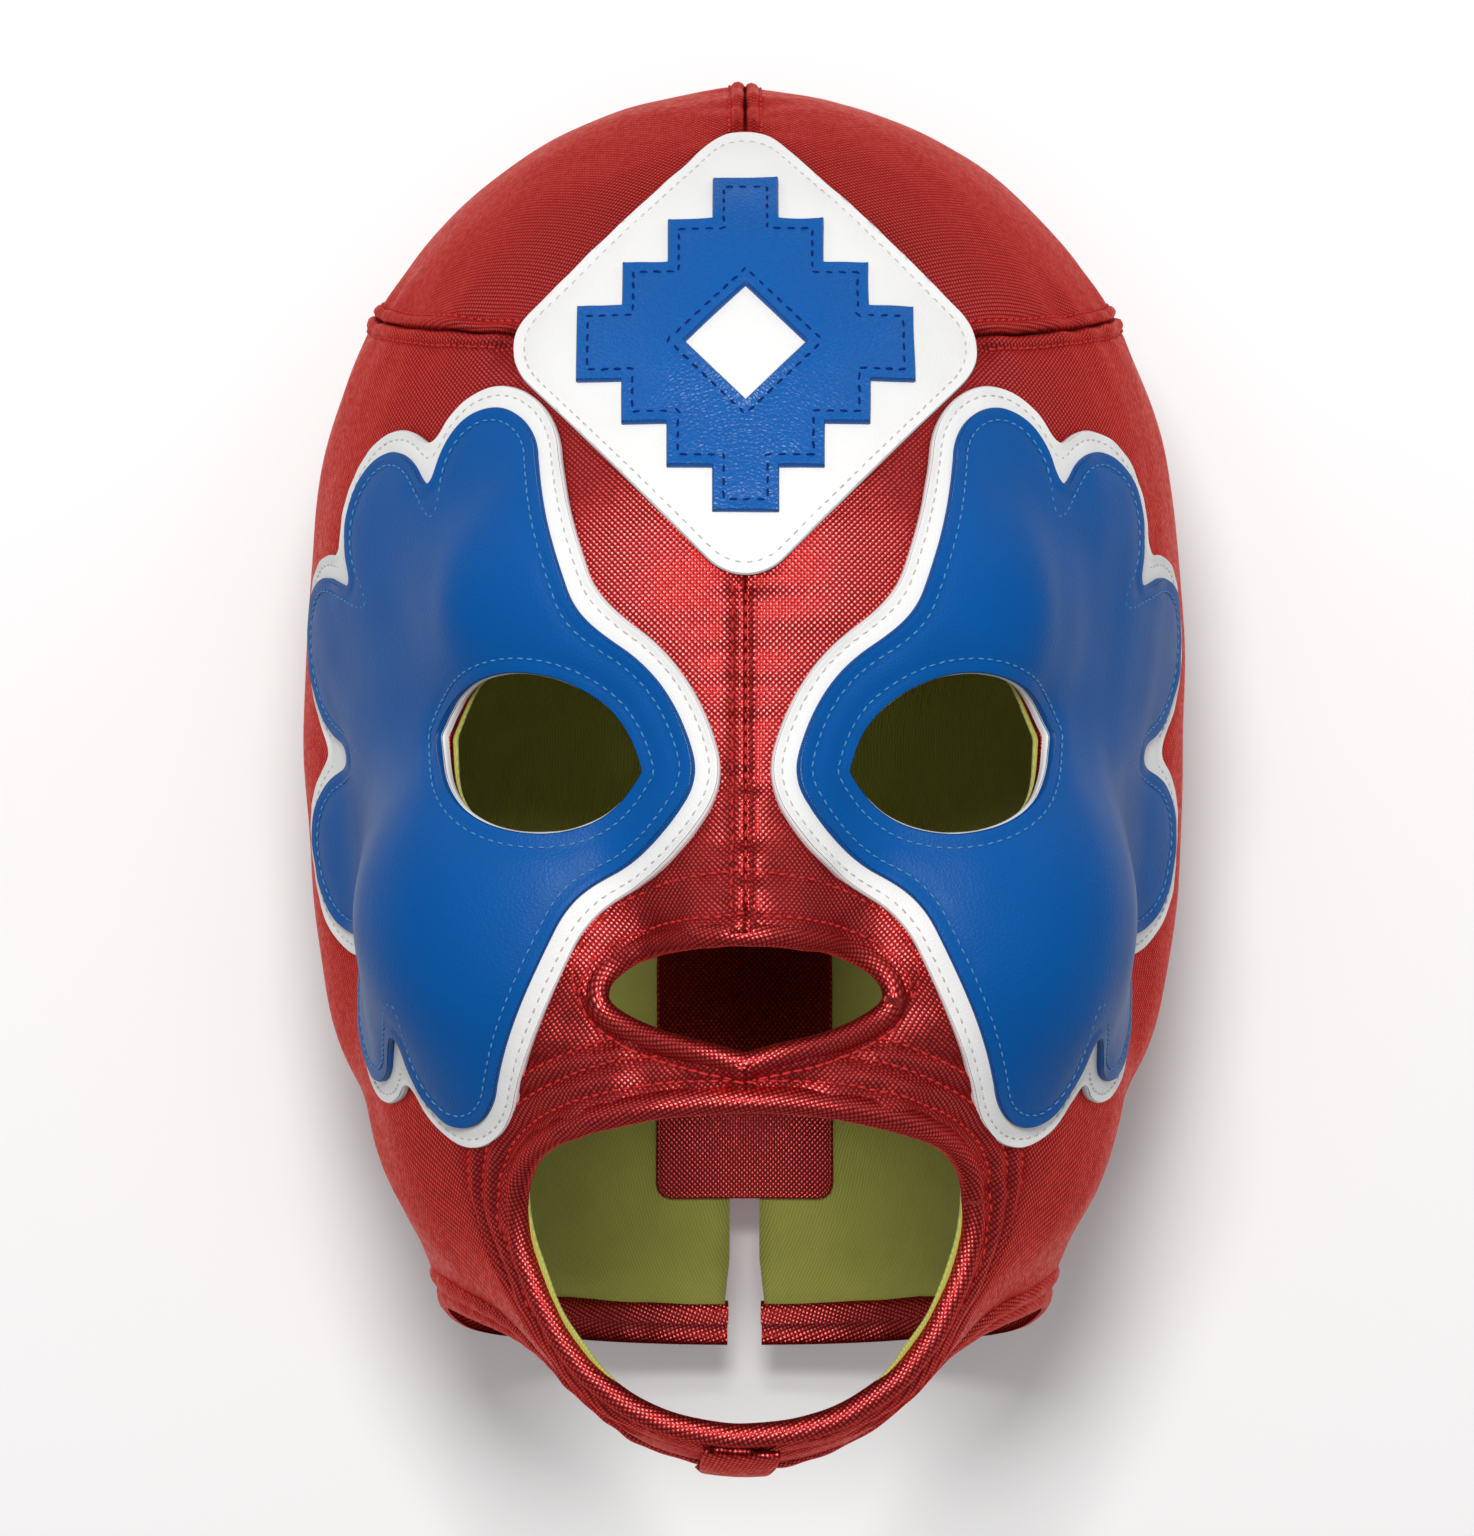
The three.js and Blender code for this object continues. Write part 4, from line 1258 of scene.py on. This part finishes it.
def vinylPiece(colour, kind, loops, chart, finish, side=""):
    heights, spacing, stitchAt, seed = vinylCut[kind]
    (low, high), edgeRound = heights, vinylCut["edgeRound"]
    loops = [facing(loop, i == 0) for i, loop in enumerate(loops)]
    inner = [inset(loop, edgeRound) for loop in loops]
    beside = vinylCut["besideStitches"]
    widths = (*vinylCut["edgeRows"], stitchAt - beside, stitchAt, stitchAt + beside, vinylCut["innerRow"])
    rows = [inset(loop, width) for loop in loops for width in widths]
    flat, faces = fillFlat(inner, spacing, rows, vinylCut["rowGap"])
    gap = gapToLoops(flat, loops)
    top = chart(flat)
    normals = normalsAt(top)
    faces = outwardFaces(top, faces, normals)

    def puff(points):
        return vinylCut["puff"] * waves(points, *vinylCut["puffWaves"], seed)

    dentDepth, dentWidth = vinylCut["stitchDent"]
    edgeRise, riseWidth = vinylCut["edgeRise"]
    relief = edgeRise * ramp(1 - gap / riseWidth) - dentDepth * bell(gap - stitchAt, dentWidth)
    relief += slack(top) + np.exp(-gap / vinylCut["puffReach"]) * puff(top)
    points = [top + normals * (high + relief)[:, None]]
    weave, gaps, allFaces = [flat], [gap], faces.tolist()
    start = len(flat)
    for loop, ring in zip(loops, inner):  # the cut edge, from the underside up and over
        base, rim, count = chart(loop), chart(ring), len(loop)
        up = normalsAt(base)
        lift = (slack(base) + puff(base) - vinylCut["cutDrop"])[:, None]
        levels = (base, low), (base, (low + high) / 2), (base, high - edgeRound), (rim, high)
        for line, height in levels:
            points.append(line + up * (height + lift))
            weave.append(loop)
            gaps.append(np.full(count, vinylCut["rimGap"] if height == high else 0.0))
        allFaces += bandFaces(4, count, start)
        start += 4 * count
    cadNode = kind + side
    values = {"edgeGap": np.concatenate(gaps)}
    piece = makeMesh(f"{colour}_{cadNode}", np.concatenate(points), allFaces, np.concatenate(weave), values)
    finishPiece(piece, finish, cadNode)


# Stitches, each one its own small body
stitchLook = {  # pitch, length, radius
    "lightBlue": (1.75, 1.25, 0.17),
    "white": (1.9, 1.2, 0.15),
    "darkBlue": (2.3, 1.6, 0.22),
    "red": (2.0, 1.5, 0.25),
    "band": (2.4, 1.7, 0.16),
    "sides": 6,
    "body": ((-0.36, 0.8), (0.0, 1.0), (0.36, 0.8)),  # place along the stitch and share of its radius
    "shift": 0.06,
    "slant": 0.12,
    "sizes": (0.9, 1.1),
    "arch": (0.9, 0.25),  # how much it arches, and how much of that is over its middle
    "loopGap": 3,  # a line whose ends are nearer is stitched all round
    "fabricLift": 0.1,
    "fabricSpare": 0.4,
}


def stitchShape():  # points as along, beside and up, and faces
    sides = stitchLook["sides"]
    points = [(-0.5, 0, 0)]
    for along, size in stitchLook["body"]:
        points += [(along, size * beside, size * up) for beside, up in circle(sides)]
    points.append((0.5, 0, 0))
    last, lastRing = len(points) - 1, 1 + 2 * sides
    faces = [(0, 1 + (k + 1) % sides, 1 + k) for k in range(sides)] + bandFaces(3, sides, 1)
    faces += [(last, lastRing + k, lastRing + (k + 1) % sides) for k in range(sides)]
    return np.array(points), faces


def stitchRows(name, lines, heightAt, finish, look, closed=True):
    pitch, length, radius = stitchLook[look]
    shape, shapeFaces = stitchShape()
    archHeight, overMiddle = stitchLook["arch"]
    arch = archHeight * radius * (overMiddle - (2 * shape[:, 0]) ** 2)
    points, faces, start = [], [], 0
    rng = np.random.default_rng(len(name) + 17)
    for line in lines:
        isLoop = closed and np.linalg.norm(line[0] - line[-1]) < stitchLook["loopGap"]
        path = roundLoop(line) if isLoop else line
        lengths = lengthsAlong(path)
        if lengths[-1] < pitch * 2:
            continue
        at = np.arange(pitch / 2, lengths[-1] - pitch / 2, pitch)
        count, shift, slant = len(at), stitchLook["shift"], stitchLook["slant"]
        at = at + rng.uniform(-shift, shift, count)
        middle = readAlong(path, lengths, at)
        along = unit(readAlong(path, lengths, at + 0.4) - readAlong(path, lengths, at - 0.4))
        normals = normalsAt(middle)
        beside = np.cross(normals, along)
        middle = middle + normals * heightAt(middle, normals)[:, None]
        along = along + beside * rng.uniform(-slant, slant, count)[:, None]
        size = radius * rng.uniform(*stitchLook["sizes"], count)[:, None]
        up = shape[:, 2] * size + arch
        placed = middle[:, None] + along[:, None] * (shape[:, :1] * length)
        placed += beside[:, None] * (shape[:, 1] * size)[..., None] + normals[:, None] * up[..., None]
        points.append(placed.reshape(-1, 3))
        for i in range(count):
            faces += [tuple(start + i * len(shape) + v for v in face) for face in shapeFaces]
        start += count * len(shape)
    finishPiece(makeMesh(name, np.concatenate(points), faces), finish)


def onVinyl(height):
    def heightAt(points, normals):
        return height + slack(points)
    return heightAt


def onFabric(points, normals):
    lifted = fabricRelief(points, normals) + stitchLook["fabricLift"]
    return pressedFlat(points, lifted, stitchLook["fabricSpare"])


def onBand(points, normals):
    return np.full(len(points), layer["band"] - 0.17)


def makeEyeSurrounds():
    border = surround["border"]
    blueStitchAt, whiteStitchAt = vinylCut["eye_surround"][2], vinylCut["eye_backing"][2]
    backing = traceField(surroundField, border, 0.9), traceField(eyeField, surround["whiteHole"], 0.7)
    blue = traceField(surroundField, 0, 0.8), traceField(eyeField, 0.0, 0.7)
    eyeStitches = traceField(eyeField, surround["eyeStitches"], 0.8)
    blueStitches = traceField(surroundField, -blueStitchAt, 0.8), eyeStitches
    whiteStitches = traceField(surroundField, border - whiteStitchAt, 0.8)
    blueRows, whiteRows = [], []
    for side, sign in (("left", -1), ("right", 1)):
        mirror = np.array([sign, 1])
        under, over = ([loop * mirror for loop in loops] for loops in (backing, blue))
        vinylPiece("white", "eye_backing", under, fromWrapChart, whiteVinyl, "_" + side)
        vinylPiece("blue", "eye_surround", over, fromWrapChart, blueVinyl, "_" + side)
        blueRows += [fromWrapChart(line * mirror) for line in blueStitches]
        whiteRows.append(fromWrapChart(whiteStitches * mirror))
    print("eye surrounds ready")
    return blueRows, whiteRows


def diamondLoop(reach, corner, count=12):  # with rounded corners
    inner = reach - corner * math.sqrt(2)
    points = []
    for quarter in range(4):
        middle = math.pi / 2 * quarter
        angle = middle + np.linspace(-math.pi / 4, math.pi / 4, count + 1)
        centre = np.array([inner * math.cos(middle), patch["up"] + inner * math.sin(middle)])
        points.append(centre + corner * columns(np.cos(angle), np.sin(angle)))
    return np.concatenate(points)


def squareLoop(reach):
    return np.array([(reach, 0), (0, reach), (-reach, 0), (0, -reach)], float) + [0, patch["up"]]


def steppedLoop(shrink=0.0):
    steps = [(x - shrink, y - shrink) for x, y in patch["steps"]]
    quarter = steps[:1]
    for before, (x, y) in zip(steps, steps[1:]):
        quarter += [(x, before[1]), (x, y)]
    quarter = np.array(quarter)
    turned = [quarter, quarter[::-1] * [-1, 1], -quarter, quarter[::-1] * [1, -1]]
    return np.concatenate(turned) + [0, patch["up"]]


def fineLoop(loop, spacing):  # keeps the corners
    points = []
    for here, there in zip(loop, np.roll(loop, -1, axis=0)):
        count = max(1, int(round(np.hypot(*(there - here)) / spacing)))
        points += [here + (there - here) * k / count for k in range(count)]
    return np.array(points)


def makeForeheadPatch():
    reach, corner, hole = patch["reach"], patch["corner"], patch["hole"]
    backing = [resample(diamondLoop(reach, corner), 0.9)]
    vinylPiece("white", "forehead_backing", backing, fromFrontChart, whiteVinyl)
    motif = [fineLoop(steppedLoop(), 0.8), fineLoop(squareLoop(hole), 0.8)]
    vinylPiece("blue", "forehead_motif", motif, fromFrontChart, grainedBlue)
    whiteRow = fromFrontChart(resample(diamondLoop(reach - 2.5, corner - 1), 0.8))
    motifRows = [fromFrontChart(fineLoop(loop, 0.5)) for loop in (steppedLoop(1.9), squareLoop(hole + 2.7))]
    return whiteRow, motifRows


blueRows, whiteRows = makeEyeSurrounds()
foreheadRow, motifRows = makeForeheadPatch()
onWhite, onBlue = onVinyl(layer["white"][1] - 0.14), onVinyl(layer["blue"][1] - 0.1)
stitchRows("light_blue_stitches", blueRows, onBlue, lightBlueThread, "lightBlue")
stitchRows("white_stitches", [*whiteRows, foreheadRow], onWhite, whiteThread, "white")
stitchRows("dark_blue_stitches", motifRows, onBlue, darkBlueThread, "darkBlue")
print("forehead patch and vinyl stitches ready")


def fabricStitchLines():
    lines, stitchAt = [], seamLook["stitchAt"]
    for line in centres[:2]:
        frames = edgeFrames(line, closed=False)
        lines += [offsetLine(frames, -at) for at in frontSeamLook["stitches"]]
    for line in (crownMiddle, resample(seamLine, 1.0, closed=False)):
        frames = edgeFrames(line, closed=False)
        lines += [offsetLine(frames, side * stitchAt) for side in (-1, 1)]
    lines += [offsetLine(noseEdge, noseFacingWidth + 0.2), offsetLine(noseEdge, noseFacing["row"])]
    inner, middle, outer = (offsetLine(mouthEdge, width) for width in mouthFacing["rows"])
    start = mouthFacing["outerRowFrom"]
    ends = np.nonzero(np.diff((np.abs(outer[:, 0]) > start).astype(int)))[0] + 1
    runs = [run for run in np.split(outer, ends) if abs(run[:, 0]).min() > start - 1]
    return [*lines, inner, middle, *runs]


rowEnds = {
    "underPatch": 1.5,
    "lastFall": 151.5,
    "nearNose": 3.5,
    "clearOfNose": 3.9,
    "shortest": 6,  # points in a run that is worth stitching
}


def shownRuns(lines):  # not under the forehead patch, in the nose opening or past the hem
    kept, nearNose = [], rowEnds["nearNose"]
    for line in lines:
        x, y, z = line.T
        shown = (np.abs(x) + np.abs(y - patch["up"]) > patch["reach"] - rowEnds["underPatch"]) | (z < 0)
        shown &= turnAndFall(line)[1] < rowEnds["lastFall"]
        fromNose = np.hypot(x / (nose["halfWidth"] + nearNose), (y - nose["up"]) / (nose["rise"] + nearNose))
        clear = nearest(line, noseEdge[0]) > rowEnds["clearOfNose"]
        clear &= ~insideLoops(line[:, :2], [noseEdge[0][:, :2]])
        shown &= (fromNose >= 1) | (z <= 0) | clear
        runs = np.split(np.arange(len(line)), np.nonzero(np.diff(shown.astype(int)))[0] + 1)
        kept += [line[run] for run in runs if shown[run[0]] and len(run) > rowEnds["shortest"]]
    return kept


stitchRows("red_stitches", shownRuns(fabricStitchLines()), onFabric, redThread, "red", closed=False)
print("fabric stitches ready")


# Strap lap, tongue, lacing bands and eyelets
def boxLoop(x0, x1, y0, y1, spacing, corner=1.0):
    steps = np.linspace(0, math.pi / 2, 5)
    points = []
    for x, y, start in ((x1, y1, 0), (x0, y1, 90), (x0, y0, 180), (x1, y0, 270)):
        middle = [x - corner if x == x1 else x + corner, y - corner if y == y1 else y + corner]
        angle = math.radians(start) + steps
        points.append(middle + corner * columns(np.cos(angle), np.sin(angle)))
    return resample(np.concatenate(points), spacing)


patchLook = {  # height, spacing of the mesh, thickness, curl of the edge
    "lap": (2.3, 1.2, 1.1, 0.3),
    "tongue": (layer["tongue"], 3.0, 0.8, 0.3),
    "band": (layer["band"], 2.2, 1.0, 0.5),
    "edgeRows": (0.5, 1.0, 1.6),
    "rowGap": 0.3,
    "curlReach": 0.8,
}
lapCorners = ((4.5, -145.8), (-5.3, -145.4), (-7.5, -153.6), (3.5, -152.6))  # degrees round and down
tongueBox = (-18, 18, -84, 58)
bandLook = {"width": 16, "low": -82, "stitchInset": 1.8, "stitchLow": 2.0}
eyeletLook = {
    "across": 8.5,
    "first": 37,
    "pitch": 27,
    "count": 5,
    "hole": 2.9,
    "section": [  # radius and height, from the inside over the rolled rim
        (2.0, -2.0), (1.95, -0.5), (2.05, 0.7), (2.4, 1.05),
        (2.9, 1.1), (3.4, 0.98), (3.7, 0.75), (3.6, 0.4),
    ],
}


def clothPatch(name, cadNode, loop, chart, kind, finish, holes=()):
    height, spacing, thickness, curl = patchLook[kind]
    loops = [facing(loop)] + [facing(hole, False) for hole in holes]
    rows = [inset(one, width) for one in loops for width in patchLook["edgeRows"]]
    flat, faces = fillFlat(loops, spacing, rows, patchLook["rowGap"])
    base = chart(flat)
    normals = normalsAt(base)
    faces = outwardFaces(base, faces, normals)
    lift = height - curl * ramp(1 - gapToLoops(flat, loops) / patchLook["curlReach"]) ** 2
    piece = makeMesh(name, base + normals * lift[:, None], faces, flat)
    addThickness(piece, thickness)
    finishPiece(piece, finish, cadNode)


def makeLap():
    loop = fineLoop(np.array(lapCorners) * sideScale, 0.7)
    clothPatch("strap_lap", "chin_strap_lap", loop, fromSideChart, "lap", redBias)


def makeBand(side, sign):
    across, margin = sign * eyeletLook["across"], bandLook["stitchInset"]
    inner, outer = slitHalf, slitHalf + bandLook["width"]
    heights = [eyeletLook["first"] - i * eyeletLook["pitch"] for i in range(eyeletLook["count"])]
    holes = [[across, height] + eyeletLook["hole"] * circle(28) for height in heights]
    loop = boxLoop(*sorted((sign * inner, sign * outer)), bandLook["low"], slitTop, 1.2)
    clothPatch(f"{side}_lacing_band", f"lacing_band_{side}", loop, fromBackChart, "band", redBias,
               holes)
    low, high = bandLook["low"] + bandLook["stitchLow"], slitTop - margin
    row = boxLoop(*sorted((sign * (inner + margin), sign * (outer - margin))), low, high, 1.0)
    return fromBackChart(row), [(across, height) for height in heights]


def makeEyelet(name, cadNode, spot):
    point = fromBackChart(np.array([spot], float))
    normal = normalsAt(point)[0]
    across = unit(np.cross([0, 1, 0], normal))
    up = np.cross(normal, across)
    around = circle(32) @ np.array([across, up])
    section = eyeletLook["section"]
    points = [point[0] + around * radius + normal * height for radius, height in section]
    piece = makeMesh(name, np.concatenate(points), bandFaces(len(section), 32))
    finishPiece(piece, nickelPlate, cadNode)


makeLap()
tongueLoop = boxLoop(*tongueBox, 1.5, 3)
clothPatch("tongue", "back_tongue", tongueLoop, fromBackChart, "tongue", redCloth)
bands = {side: makeBand(side, sign) for side, sign in (("left", -1), ("right", 1))}
stitchRows("band_stitches", [row for row, _ in bands.values()], onBand, redThread, "band")
for side, (_, spots) in bands.items():
    for number, spot in enumerate(spots, 1):
        makeEyelet(f"nickel_eyelet_{side}_{number}", f"eyelet_{side}_{number}", spot)
print("lap, tongue, bands and eyelets ready")

# Floor, lights and camera
stageLook = {
    "floor": (0.93, 0.935, 0.94, 1),
    "floorRoughness": 0.9,
    "floorReach": 3,  # metres to each side
    "seen": (0.05, 20),  # metres, the camera's nearest and farthest
    "cameraDistance": 1150,  # above the middle of the head
    "aim": (1.45, 1.5),
    "lens": 148.2,
    "world": 0.25,
    "lights": [  # name, place and aim in millimetres from the eye line, size, power, colour
        ("key", (-30, 250, 985), (0, 0, 60), 230, 8.2, (1.0, 0.985, 0.97)),
        ("front", (0, -60, 1500), (0, 0, 0), 900, 3.6, (1.0, 1.0, 1.0)),
        ("left", (-640, 520, 380), (0, 0, 20), 500, 0.95, (0.97, 0.98, 1.0)),
        ("right", (640, 520, 380), (0, 0, 20), 500, 0.95, (0.97, 0.98, 1.0)),
    ],
}


def makeFloor():
    mesh = bpy.data.meshes.new("floor")
    far = stageLook["floorReach"]
    mesh.from_pydata([(-far, -far, 0), (far, -far, 0), (far, far, 0), (-far, far, 0)], [], [(0, 1, 2, 3)])
    floor = bpy.data.objects.new("floor", mesh)
    bpy.context.scene.collection.objects.link(floor)
    material, tree, shader = newMaterial("pale floor")
    look = {"Base Color": stageLook["floor"], "Roughness": stageLook["floorRoughness"]}
    setInputs(tree, shader, look)
    mesh.materials.append(material)


def makeLights():
    world = bpy.data.worlds.new("studio")
    world.use_nodes = True
    background = world.node_tree.nodes["Background"]
    setInputs(world.node_tree, background, {"Color": (1, 1, 1, 1), "Strength": stageLook["world"]})
    bpy.context.scene.world = world
    bpy.context.scene.view_settings.view_transform = "Standard"
    for name, place, aim, size, power, colour in stageLook["lights"]:
        light = bpy.data.lights.new(name, "AREA")
        light.shape, light.size, light.energy, light.color = "DISK", size / 1000, power, colour
        lamp = bpy.data.objects.new(name, light)
        bpy.context.scene.collection.objects.link(lamp)
        start, end = Vector(toFrame(place)), Vector(toFrame(aim))
        lamp.location = start
        lamp.rotation_euler = (end - start).to_track_quat("-Z", "Y").to_euler()


def makeCamera():  # looks straight down on the face
    data = bpy.data.cameras.new("camera")
    data.lens, data.sensor_width, data.sensor_fit = stageLook["lens"], 36, "AUTO"
    data.clip_start, data.clip_end = stageLook["seen"]
    camera = bpy.data.objects.new("camera", data)
    bpy.context.scene.collection.objects.link(camera)
    aimX, aimY = stageLook["aim"]
    camera.location = Vector(toFrame((-aimX, -aimY, stageLook["cameraDistance"])))
    camera.rotation_euler = (0, 0, 0)
    bpy.context.scene.camera = camera


makeFloor()
makeLights()
makeCamera()
print("stage ready")
